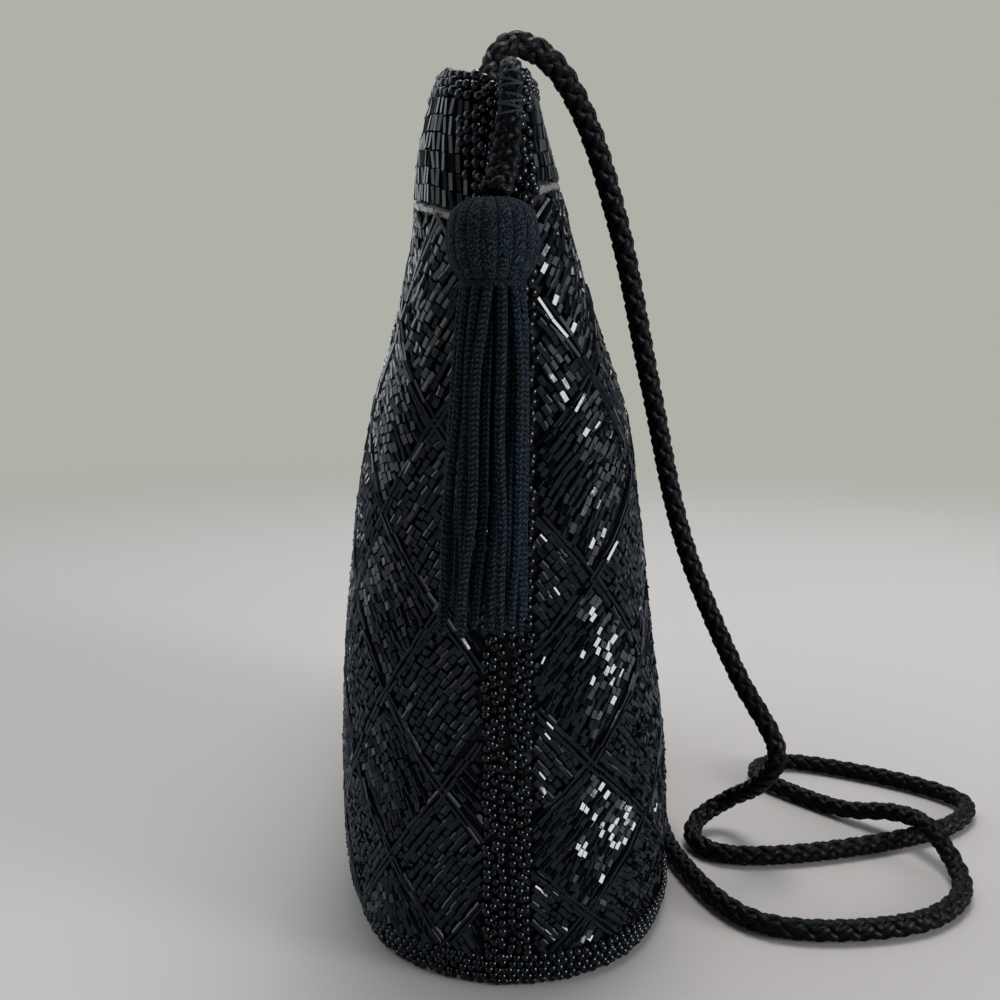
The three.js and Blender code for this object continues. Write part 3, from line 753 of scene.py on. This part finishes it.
def diamond_outlines(side):
    """Double rows of thin bugles along the lattice's lines, where one of the slanting counts is odd."""
    lines = np.arange(LATTICE_START, LATTICE_END, 2)
    pieces = []
    for ways in ((1, 0), (0, 1)):
        pitch = 2 / OUTLINE_BUGLES[side]
        spots = np.arange(LATTICE_START, LATTICE_END, pitch) + pitch / 2
        line, spot, twin = (g.ravel() for g in np.meshgrid(lines, spots, (-1, 1), indexing="ij"))
        line = line + twin * OUTLINE_APART + shake.normal(0, OUTLINE_UNEVEN, len(line))
        spot = spot + twin * OUTLINE_STAGGER
        m, n = (spot, line) if ways == (1, 0) else (line, spot)
        size = uneven(len(m), OUTLINE_LENGTH, OUTLINE_WIDTH, BUGLE_SPREAD)
        pieces.append(sewn_on_lattice(side, cut_shape, m, n, *ways, size, OUTLINE_SINK, *OUTLINE_TILTS))
    return pieces


def joined(pieces):
    """Several sets of points, triangles and shades as one."""
    starts = np.cumsum([0] + [len(piece[0]) for piece in pieces[:-1]])
    points, faces, extra = zip(*pieces)
    faces = np.concatenate([face + start for face, start in zip(faces, starts)])
    return np.concatenate(points), faces, np.concatenate(extra)


def add_beads(name, beads, glass, smooth=False):
    """A piece of sewn beads, from their points, triangles and shades."""
    points, faces, tone = beads
    return add_piece(name, points, faces, glass, tone=tone, smooth=smooth)


panel_beads = {FRONT: [], BACK: []}
for side, name in panel_names.items():
    for first_way, label in ((True, "rising"), (False, "falling")):
        strings = filled_diamonds(side, first_way)
        panel_beads[side].append(add_beads(f"{name}_{label}_strings", strings, black_glass))
    lines = joined(diamond_outlines(side))
    panel_beads[side].append(add_beads(f"{name}_diamond_lines", lines, black_glass))

# The band below the mouth: rows of thin upright bugles side by side, from the silver row to the edging.
# The silver row is one string of silver-grey bugles laid on its side along the foot of the band.
BAND_ABOVE_SILVER = 1.3 * MM
BAND_BELOW_MOUTH = 5.4 * MM
BAND_ROWS = 6
BAND_COLUMNS = 128
BAND_WIDTH = 1.46 * MM
BAND_SINK = -0.75 * MM
BAND_TILTS = (0.035, 0.07, 0.20)
BAND_UNEVEN = 0.06 * MM
BAND_FILL = 0.93
CLIMB_NUDGE = 0.2 * MM
SHARE_NUDGE = 1e-3
BUGLE_UNEVEN = 0.12 * MM
SILVER_LENGTH = 2.35 * MM
SILVER_WIDTH = 1.5 * MM
SILVER_BEADS = 86
SILVER_SINK = -0.85 * MM
SILVER_TILTS = (0.04, 0.05, 0.15)


def band_bugles(side):
    """Columns at even shares round the wall, and rows at even steps from the silver row up to the mouth's
    edging. Each bugle lies along the way from the row below it to the row above."""
    clear = STRIP_CLEAR / way_round(side, MOUTH_NOTCH)
    columns = np.linspace(clear, 1 - clear, BAND_COLUMNS)
    share, row = (g.ravel() for g in np.meshgrid(columns, np.arange(BAND_ROWS) + 0.5, indexing="ij"))
    foot = silver_height(side, share) + BAND_ABOVE_SILVER
    tall = (mouth_height(side, share) - BAND_BELOW_MOUTH - foot) / BAND_ROWS
    height = foot + row * tall + np.repeat(shake.normal(0, BUGLE_UNEVEN, BAND_COLUMNS), BAND_ROWS)
    centres, normal = on_wall(side, share, height, BAND_SINK + shake.normal(0, BAND_UNEVEN, len(share)))
    above, _ = on_wall(side, share, height + CLIMB_NUDGE, BAND_SINK + 0 * share)
    size = uneven(len(share), 1.0, BAND_WIDTH, BUGLE_SPREAD)
    size[:, 0] *= BAND_FILL * tall
    return sewn(cut_shape, centres, above - centres, normal, size, *BAND_TILTS)


def silver_bugles(side):
    """Bugles end to end at even shares round the wall, along the silver row's height."""
    clear = STRIP_CLEAR / way_round(side, SILVER_MIDDLE)
    share = np.linspace(clear, 1 - clear, SILVER_BEADS + 1)
    share = (share[1:] + share[:-1]) / 2
    height = silver_height(side, share)
    laid = height + shake.normal(0, BUGLE_UNEVEN, SILVER_BEADS)
    centres, normal = on_wall(side, share, laid, SILVER_SINK + 0 * share)
    after, before = share + SHARE_NUDGE, share - SHARE_NUDGE
    ahead, _ = on_wall(side, after, silver_height(side, after), SILVER_SINK + 0 * share)
    behind, _ = on_wall(side, before, silver_height(side, before), SILVER_SINK + 0 * share)
    size = uneven(len(share), SILVER_LENGTH, SILVER_WIDTH, BUGLE_SPREAD)
    return sewn(cut_shape, centres, ahead - behind, normal, size, *SILVER_TILTS)


silver_glass = glass_material("silver_glass", (0.105, 0.105, 0.098), (0.235, 0.235, 0.222), 0.25, 0.5)
for side, name in panel_names.items():
    band = band_bugles(side)
    panel_beads[side].append(add_beads(f"{name}_band_bugles", band, black_glass))
    row = add_beads(f"{name}_silver_bugles", silver_bugles(side), silver_glass)
    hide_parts(f"{name}_silver_row")
    panel_beads[side].append(row)

# The edging, the seam strips and the base rim: rows of round black glass beads sewn close together.
# They run along the mouth, turn down at its rounded corners, cover both side seams and go round the foot.
ROUND_BEAD = 2.0 * MM
BEAD_PITCH = 2.0 * MM
BORDER_ROWS = ((1.2 * MM, -0.9 * MM), (2.8 * MM, -0.45 * MM), (4.4 * MM, -0.45 * MM))
CORNER_COLUMNS = ((5.9, 165.0, 182.0), (7.5, 171.0, 181.5), (9.1, 176.5, 182.0))
SEAM_UNEVEN = 0.30 * MM
ROW_UNEVEN = 0.13 * MM
CORNER_RADIUS = 8.0 * MM
RIM_ROWS = ((1.0, 0.1), (2.5, 0.2), (4.1, 0.0), (5.7, -0.2), (7.3, -0.4))
RIM_LEAN = 0.03
STRIP_FOOT = 8.3 * MM
STRIP_LIFT = -0.35 * MM
BALL_SIDES = 8
BALL_LATITUDES = np.array([0.34, 0.78, 1.31, 1.83, 2.36, 2.80])
BALL_DIMPLE = 0.30
BALL_SPREAD = 0.05
BALL_TILTS = (0.2, 0.2, 0.2)
FLOOR_CLEAR = 0.53 * ROUND_BEAD
SHARE_ENDS = (0.002, 0.998)
CORNER_STEPS = 40
MOUTH_STEPS = 200
TAPE_STEPS = 60
TAPE_SIDES = (5.2, 3.4, 1.6, 0.5)
TAPE_SINK = -1.2 * MM
TAPE_THICK = 0.6 * MM
NEAR = -1
FAR = 1
end_names = {NEAR: "near", FAR: "far"}


def round_bead():
    """A ball of unit width, dimpled at both ends of its thread: rings by sine and cosine of latitude."""
    around = 2 * np.pi * np.arange(BALL_SIDES) / BALL_SIDES
    rings = np.stack([
        np.cos(BALL_LATITUDES)[:, None] + 0 * around,
        np.sin(BALL_LATITUDES)[:, None] * np.cos(around),
        np.sin(BALL_LATITUDES)[:, None] * np.sin(around),
    ], axis=-1)
    points = np.concatenate([0.5 * rings.reshape(-1, 3), [(BALL_DIMPLE, 0, 0), (-BALL_DIMPLE, 0, 0)]])
    k = np.arange(BALL_SIDES)
    after = (k + 1) % BALL_SIDES
    last = BALL_SIDES * (len(BALL_LATITUDES) - 1)
    near, far = len(points) - 2, len(points) - 1
    walls = []
    for a in range(0, last, BALL_SIDES):
        b = a + BALL_SIDES
        walls += [np.stack([a + k, b + k, b + after], 1), np.stack([a + k, b + after, a + after], 1)]
    ends = [np.stack([near + 0 * k, k, after], 1), np.stack([far + 0 * k, last + after, last + k], 1)]
    return points, np.concatenate(walls + ends)


ball_shape = round_bead()


def ball_row(side, share, height, lift, spread):
    """Round beads along a row, threaded the way that the row runs, and set unevenly by a spread."""
    uneasy = shake.normal(0, spread, (3, len(share)))
    share = np.clip(share + uneasy[0] / way_round(side, height), *SHARE_ENDS)
    height = np.maximum(height + uneasy[1], 0)
    centres, normal = on_wall(side, share, height, lift + uneasy[2])
    centres[:, 2] = np.maximum(centres[:, 2], FLOOR_CLEAR)
    thread = np.roll(centres, -1, axis=0) - np.roll(centres, 1, axis=0)
    thread[[0, -1]] = thread[[1, -2]]
    size = uneven(len(share), ROUND_BEAD, ROUND_BEAD, BALL_SPREAD)
    return sewn(ball_shape, centres, thread, normal, size, *BALL_TILTS)


def border_row(side, inset, mouth_lift, start):
    """Half of a border row of a panel, at an inset from its edge: up the near seam, round a quarter
    circle at the mouth's corner and along the mouth to its middle. Gives each bead's share, height and
    lift at even steps, and which beads belong to the seam."""
    half_way = way_round(side, MOUTH_NOTCH) / 2
    corner_top = mouth_height(side, np.array(CORNER_RADIUS / (2 * half_way)))
    corner_foot = corner_top - CORNER_RADIUS
    quarter = np.linspace(0, np.pi / 2, CORNER_STEPS)
    reach = np.linspace(CORNER_RADIUS, half_way, MOUTH_STEPS)[1:]
    seam_line = np.stack([[inset, inset], [STRIP_FOOT, corner_foot]], axis=1)
    bend = CORNER_RADIUS - inset
    bend_away = CORNER_RADIUS - bend * np.cos(quarter)
    bend_line = np.stack([bend_away, corner_foot + bend * np.sin(quarter)], axis=1)
    mouth_line = np.stack([reach, mouth_height(side, reach / (2 * half_way)) - inset], axis=1)
    line = np.concatenate([seam_line, bend_line[1:], mouth_line])
    along = np.r_[0, np.cumsum(np.linalg.norm(np.diff(line, axis=0), axis=1))]
    even = np.arange(start, along[-1], BEAD_PITCH)
    distance, height = (np.interp(even, along, line[:, k]) for k in range(2))
    on_seam = np.clip(1 - (distance - inset) / CORNER_RADIUS, 0, 1)
    lift = on_seam * STRIP_LIFT + (1 - on_seam) * mouth_lift
    return distance / way_round(side, height), height, lift, height < corner_foot


seam_rows = {NEAR: [], FAR: []}
for side, name in panel_names.items():
    rows = []
    for number, (inset, mouth_lift) in enumerate(BORDER_ROWS):
        share, height, lift, seam = border_row(side, inset, mouth_lift, 0.5 * BEAD_PITCH * (number % 2))
        for end in end_names:
            reached = share if end == NEAR else 1 - share
            seam_rows[end].append(ball_row(side, reached[seam], height[seam], lift[seam], SEAM_UNEVEN))
            rows.append(ball_row(side, reached[~seam], height[~seam], lift[~seam], ROW_UNEVEN))
    for inset, low, high in CORNER_COLUMNS if side == FRONT else ():
        height = np.arange(low * MM, high * MM, BEAD_PITCH)
        share = inset * MM / way_round(side, height)
        for end in end_names:
            reached = share if end == NEAR else 1 - share
            rows.append(ball_row(side, reached, height, STRIP_LIFT + 0 * height, ROW_UNEVEN))
    edging = add_beads(f"{name}_edging_beads", joined(rows), black_glass, smooth=True)
    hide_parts(f"{name}_edging")

rim_rows = []
for side in panel_names:
    for number, (height, lift) in enumerate(RIM_ROWS):
        count = int(way_round(side, height * MM) / BEAD_PITCH)
        share = (np.arange(count) + 0.5 * (number % 2)) / count
        level = height * MM + 0 * share
        depth = skin(side, station(side, share, level), level)[:, 0]
        rim_rows.append(ball_row(side, share, level, lift * MM + RIM_LEAN * depth, ROW_UNEVEN))
rim = add_beads("base_rim_beads", joined(rim_rows), black_glass, smooth=True)
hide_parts("base_rim")

tape_lines = [(FRONT, apart) for apart in TAPE_SIDES] + [(BACK, apart) for apart in TAPE_SIDES[::-1]]
for end, name in end_names.items():
    strip = add_beads(f"{name}_seam_beads", joined(seam_rows[end]), black_glass, smooth=True)
    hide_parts(f"{name}_seam")
    climb = np.linspace(PANEL_FOOT, MOUTH_NOTCH - PANEL_TUCK, TAPE_STEPS)
    places = []
    for side, apart in tape_lines:
        away = apart * MM / way_round(side, climb)
        share = away if end == NEAR else 1 - away
        places.append(on_wall(side, share, climb, TAPE_SINK + 0 * climb)[0])
    face = np.stack(places)
    back = face - np.array([0, end * TAPE_THICK, 0])
    points, faces, uv = shell(face, back)
    tape = add_piece(f"{name}_seam_tape", points, faces, black_cloth, uv=uv)

# The base: a flat oval of black cloth over a stiff sole, sewn inside the rim. The bag stands on its
# underside. It is built as rings that shrink towards the middle, with a rolled edge.
BASE_TOP = 2.2 * MM
BASE_INSET = -2.4 * MM
BASE_EDGE = 0.5 * MM
BASE_STEPS = 70
UP = np.array([0.0, 0.0, 1.0])
BASE_RINGS = np.array([(1.0, 0.5), (0.985, 0.12), (0.95, 0.0), (0.7, 0.0), (0.4, 0.0), (0.1, 0.0)])
base_shares = np.linspace(*SHARE_ENDS, BASE_STEPS)
base_level = BASE_EDGE + 0 * base_shares
base_back, base_front = (
    on_wall(side, base_shares, base_level, BASE_INSET + 0 * base_shares)[0] for side in (BACK, FRONT)
)
base_edge = np.concatenate([base_back, base_front[::-1], base_back[:1]])
base_shrink = BASE_RINGS[:, :1, None] * (1, 1, 0)
base_rise = BASE_RINGS[:, 1:, None] * MM * UP
under = base_edge * base_shrink + base_rise
over = base_edge * base_shrink + BASE_TOP * UP - base_rise
points, faces, uv = shell(under, over)
base = add_piece("base_cloth", points, faces, black_cloth, uv=uv)
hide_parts("base_panel")

# The tassel hangers: short lengths of finer satin braid, flattened, that carry the tassels down the side
# seams. Each comes out of the notch of the mouth, lies on the seam strip and ends in the tassel's head.
# Stitches of worn grey thread hold it at the top.
HANGER_ROUTE = np.array([
    # x, y for the near end, z, half width and half thickness in mm
    (0.3, -104.4, 188.9, 1.6, 1.2),
    (0.4, -107.5, 189.0, 1.7, 1.3),
    (0.4, -110.2, 186.8, 1.9, 1.4),
    (0.0, -110.3, 179.0, 2.3, 1.5),
    (-1.0, -111.3, 171.4, 2.6, 1.6),
    (-2.2, -113.4, 166.9, 2.6, 1.8),
])
HANGER_STEP = 0.3 * MM
HANGER_TURN = 11.6 * MM
HANGER_STRAND = (1.0 * MM, 0.64 * MM)
WHIPPING_SPOTS = np.array([0.25, 0.29, 0.32, 0.37, 0.41, 0.44, 0.48])
WHIPPING_LIFT = 0.12 * MM
WHIPPING_HALVES = (0.24 * MM, 0.16 * MM)
WHIPPING_SIDES = 6
WHIPPING_TURN = np.linspace(-1.9, 1.9, 15)
WHIPPING_UNEVEN = 0.15
WHIPPING_SLANT = 0.35
# The thread's colour is painted darker between its fine threads: painted shade.
grey_thread = textile(
    "grey_thread",
    fibre_lines,
    {"Threads": 5.0},
    dark=(0.014, 0.018, 0.026),
    light=(0.055, 0.066, 0.088),
    relief=FIBRE_RELIEF,
    finish={"Roughness": 0.8, "Specular IOR Level": 0.2},
)
for end, name in end_names.items():
    line = smooth_route(HANGER_ROUTE[:, :3] * (1, -end, 1) * MM, HANGER_STEP)
    knots = np.linspace(0, 1, len(HANGER_ROUTE))
    progress = np.linspace(0, 1, len(line))
    wide = np.interp(progress, knots, HANGER_ROUTE[:, 3]) * MM - HANGER_STRAND[1]
    thick = np.interp(progress, knots, HANGER_ROUTE[:, 4]) * MM - HANGER_STRAND[1]
    side_axis, out_axis = carried_axes(line, (1.0, 0.0, 0.0))
    points, faces, uv = braid(line, side_axis, out_axis, wide, thick, HANGER_TURN, HANGER_STRAND)
    hanger = add_piece(f"{name}_hanger_braid", points, faces, rope_satin, uv=uv)
    spots = np.round(WHIPPING_SPOTS * (len(line) - 1)).astype(int)
    turn = WHIPPING_TURN + shake.normal(0, WHIPPING_UNEVEN, (len(spots), 1))
    reach_side = (wide[spots] + HANGER_STRAND[1] + WHIPPING_LIFT)[:, None] * np.sin(turn)
    reach_out = (thick[spots] + HANGER_STRAND[1] + WHIPPING_LIFT)[:, None] * np.cos(turn)
    away = side_axis[spots][:, None] * reach_side[..., None]
    away = away - end * out_axis[spots][:, None] * reach_out[..., None]
    along_hanger = unit(np.gradient(line, axis=0))[spots][:, None]
    slant = shake.normal(0, WHIPPING_SLANT, (len(spots), 1, 1))
    slope = slant * along_hanger * MM * turn[..., None]
    loops = line[spots][:, None] + away + slope
    across = along_hanger + 0 * away
    points, faces, uv = tubes(loops, across, unit(away), *WHIPPING_HALVES, WHIPPING_SIDES)
    whipping = add_piece(f"{name}_hanger_stitches", points, faces, grey_thread, uv=uv)
    for piece in (hanger, whipping):
        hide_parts(f"{name}_tassel_hanger")

# The tassels: soft chain-knitted cords laid over a ball, tied in below it and left to hang as a skirt. On
# the head the cords lie flat side by side. In the skirt they hang free in small clumps, with more inside.
TASSEL_X = -2.7
TASSEL_Y = 114.4
TASSEL_LEAN = -2.2
CORD_STEP = 0.9
NECK = 152.0
TIP = 91.0
CORD_SIDES = 8
CORD_TURNED = 0.1
CORD_DRIFT = 0.16
CORD_SWAYS = ((0.10, 5), (0.05, 11))
CORD_SPREAD = 0.06
HEAD_CORDS = 18
HEAD_CORD_OVERLAP = 1.12
HEAD_CORD_HALF_THICKNESS = 0.55 * MM
HEAD_PROFILE = np.array([
    # distance of a cord's middle from the tassel's axis, and height, in mm
    (1.0, 165.1), (4.4, 164.8), (6.6, 163.2), (7.5, 160.5),
    (7.6, 157.6), (7.1, 155.0), (5.9, 152.9), (4.8, 151.6),
])
OUTER_CORDS = 14
INNER_CORDS = 12
INNER_SPREAD = 0.62
INNER_TURNED = 0.3
NECK_SQUEEZE = 0.8
TIP_CLOSING = (0.85, 0.5)
TIP_CHANCE = 2.3
TIE_HEIGHTS = np.array([[152.7], [152.1], [151.5], [150.9]])
TIE_REACHES = np.array([[5.6], [5.5], [5.5], [5.6]])
TIE_TIPS = np.array([[0.3], [-0.25], [0.2], [-0.1]])
TIE_HALF = 0.38 * MM
TIE_STEPS = 48
SKIRT_CORD_HALF_WIDTH = 0.92 * MM
SKIRT_CORD_HALF_THICKNESS = 0.82 * MM
SKIRT_PROFILE = np.array([
    (4.1, 153.2), (4.9, 150.6), (5.6, 145.0), (6.2, 135.0), (6.8, 118.0), (7.2, 103.0), (7.4, 91.0),
])


def tassel_cords(end, profile, count, turned, tip_chance):
    """Middle lines of cords that follow one profile, turned about the tassel's axis by nearly even angles.
    Below the neck each sways by two sines of the height, leans with the skirt and ends at its own height.
    Gives the lines and the two axes across each, round the tassel and out of it."""
    line = smooth_route(np.column_stack([profile, 0 * profile[:, 0]]), CORD_STEP)
    hang = np.clip((NECK - line[:, 1]) / (NECK - TIP), 0, 1)
    angle = (turned + 2 * np.pi * np.arange(count) / count)[:, None]
    phase = shake.uniform(0, 2 * np.pi, (2, count, 1))
    drift = shake.normal(0, CORD_DRIFT, (count, 1)) * np.minimum(4 * hang, 1)
    slow, fast = (size * np.sin(rate * hang + start) for (size, rate), start in zip(CORD_SWAYS, phase))
    sway = drift + hang * (slow + fast)
    reach = line[:, 0] * (1 + hang * shake.normal(0, CORD_SPREAD, (count, 1)))
    x = TASSEL_X + reach * np.cos(angle + sway) + TASSEL_LEAN * hang
    y = end * TASSEL_Y + reach * np.sin(angle + sway)
    z = line[:, 1] + hang**2 * shake.normal(0, tip_chance, (count, 1))
    centres = MM * np.stack(np.broadcast_arrays(x, y, z), axis=-1)
    out = np.stack(np.broadcast_arrays(np.cos(angle), np.sin(angle), 0 * line[:, 0]), axis=-1)
    tangent = unit(np.gradient(centres, axis=1))
    across = unit(np.cross(out, tangent))
    return centres, across, np.cross(tangent, across)


def head_cords(end):
    """The cords of the head, each a little wider than its share of the way round at its height."""
    centres, across, out = tassel_cords(end, HEAD_PROFILE, HEAD_CORDS, CORD_TURNED, 0)
    from_axis = np.hypot(centres[..., 0] - TASSEL_X * MM, centres[..., 1] - end * TASSEL_Y * MM)
    wide = np.pi * from_axis / HEAD_CORDS * HEAD_CORD_OVERLAP
    return tubes(centres, across, out, wide, HEAD_CORD_HALF_THICKNESS, CORD_SIDES)


def skirt_cords(end, spread, count, turned):
    """The cords of the skirt: its profile scaled by a spread, squeezed at the neck, closed at the tips."""
    centres, across, out = tassel_cords(end, SKIRT_PROFILE * (spread, 1), count, turned, TIP_CHANCE)
    wide = SKIRT_CORD_HALF_WIDTH * np.ones(centres.shape[:2])
    wide[:, :3] *= NECK_SQUEEZE
    wide[:, -2:] *= TIP_CLOSING
    return tubes(centres, across, out, wide, SKIRT_CORD_HALF_THICKNESS, CORD_SIDES)


def tie_thread(end):
    """The tie at the neck: rings of thread, each tipped a little its own way."""
    turn = 2 * np.pi * np.arange(TIE_STEPS + 1) / TIE_STEPS
    ring = turn + 0 * TIE_HEIGHTS
    tipped = TIE_HEIGHTS + TIE_TIPS * np.sin(ring)
    radial = np.stack([np.cos(ring), np.sin(ring), 0 * ring], axis=-1)
    middle = np.stack([TASSEL_X + 0 * ring, end * TASSEL_Y + 0 * ring, tipped], axis=-1)
    loop = TIE_REACHES[..., None] * radial + middle
    return tubes(loop * MM, UP + 0 * loop, -radial, TIE_HALF, TIE_HALF, WHIPPING_SIDES)


KNIT_PULLS = 480.0
KNIT_SLANT = 0.5
KNIT_ROUNDING = 1.6
KNIT_FIBRES = 2200.0
KNIT_FUZZ = 0.9
# range of the knit's height that is turned into painted shade: darker in the hollows, lighter on the
# stitches
KNIT_PAINTED_SHADE_RANGE = (0.45, 1.35)


def knit_group():
    """Chain-knitted cord: along each share of the cord's girth runs a column of slanting drops, from a
    sine of the length, and neighbouring columns meet in a V. Noise pulls the stitches about and adds
    fuzz. Puts out the height and a painted shade from it: a painted highlight on the raised stitches
    and painted shade in the hollows between them."""
    sockets = {"Stitches per mm": "Float", "Columns": "Float", "Pull": "Float"}
    group, given, result = new_group("knit_stitch", sockets, RELIEF_SOCKETS)
    split = add_node(group, "SeparateXYZ", {0: add_node(group, "UVMap").outputs["UV"]}).outputs
    place = add_node(group, "TexCoord").outputs["Object"]
    pull = maths(group, "SUBTRACT", noise(group, place, KNIT_PULLS), 0.5)
    pulled = maths(group, "MULTIPLY", pull, given["Pull"])
    columns = maths(group, "MULTIPLY_ADD", split["Y"], given["Columns"], pulled)
    slant = maths(group, "MULTIPLY_ADD", maths(group, "PINGPONG", columns, 1.0), KNIT_SLANT, pulled)
    stitches = maths(group, "MULTIPLY_ADD", split["X"], given["Stitches per mm"], slant)
    drop = maths(group, "SINE", maths(group, "MULTIPLY", stitches, 2 * math.pi))
    ridge = maths(group, "ABSOLUTE", maths(group, "SINE", maths(group, "MULTIPLY", columns, math.pi)))
    round_drop = maths(group, "POWER", maths(group, "MULTIPLY_ADD", drop, 0.5, 0.5), KNIT_ROUNDING)
    fuzz = noise(group, place, KNIT_FIBRES, 3.0)
    height = maths(group, "MULTIPLY_ADD", fuzz, KNIT_FUZZ, maths(group, "MULTIPLY", round_drop, ridge))
    feed(group, result, {"Height": height, "Shade": ranged(group, height, *KNIT_PAINTED_SHADE_RANGE)})
    return group


knit_stitch = knit_group()
KNIT_RELIEF = (0.9, 0.3 * MM)
KNIT_FINISH = {
    "Roughness": 0.9,
    "Specular IOR Level": 0.12,
    "Sheen Weight": 0.03,
    "Sheen Roughness": 0.5,
    "Sheen Tint": (0.55, 0.68, 0.85, 1.0),
}
# The skirt and the head are the same navy cords in two copies of one yarn. The head's copy is painted
# lighter than the skirt's, as painted light where light falls on the head.
navy_knit = textile(
    "navy_knit",
    knit_stitch,
    {"Stitches per mm": 1.05, "Columns": 6.0, "Pull": 1.6},
    dark=(0.0005, 0.0020, 0.0045),
    light=(0.026, 0.046, 0.062),
    relief=KNIT_RELIEF,
    finish=KNIT_FINISH,
)
head_knit_painted_lighter = textile(
    "head_knit_painted_lighter",
    knit_stitch,
    {"Stitches per mm": 1.15, "Columns": 14.0, "Pull": 4.5},
    dark=(0.0008, 0.0026, 0.0055),
    light=(0.034, 0.055, 0.070),
    relief=KNIT_RELIEF,
    finish=KNIT_FINISH,
)
for end, name in end_names.items():
    outer = skirt_cords(end, 1, OUTER_CORDS, CORD_TURNED)
    inner = skirt_cords(end, INNER_SPREAD, INNER_CORDS, INNER_TURNED)
    points, faces, uv = joined([outer, inner])
    skirt = add_piece(f"{name}_tassel_skirt", points, faces, navy_knit, uv=uv)
    points, faces, uv = joined([head_cords(end), tie_thread(end)])
    head = add_piece(f"{name}_tassel_head", points, faces, head_knit_painted_lighter, uv=uv)
    for piece in (skirt, head):
        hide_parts(f"{name}_tassel")
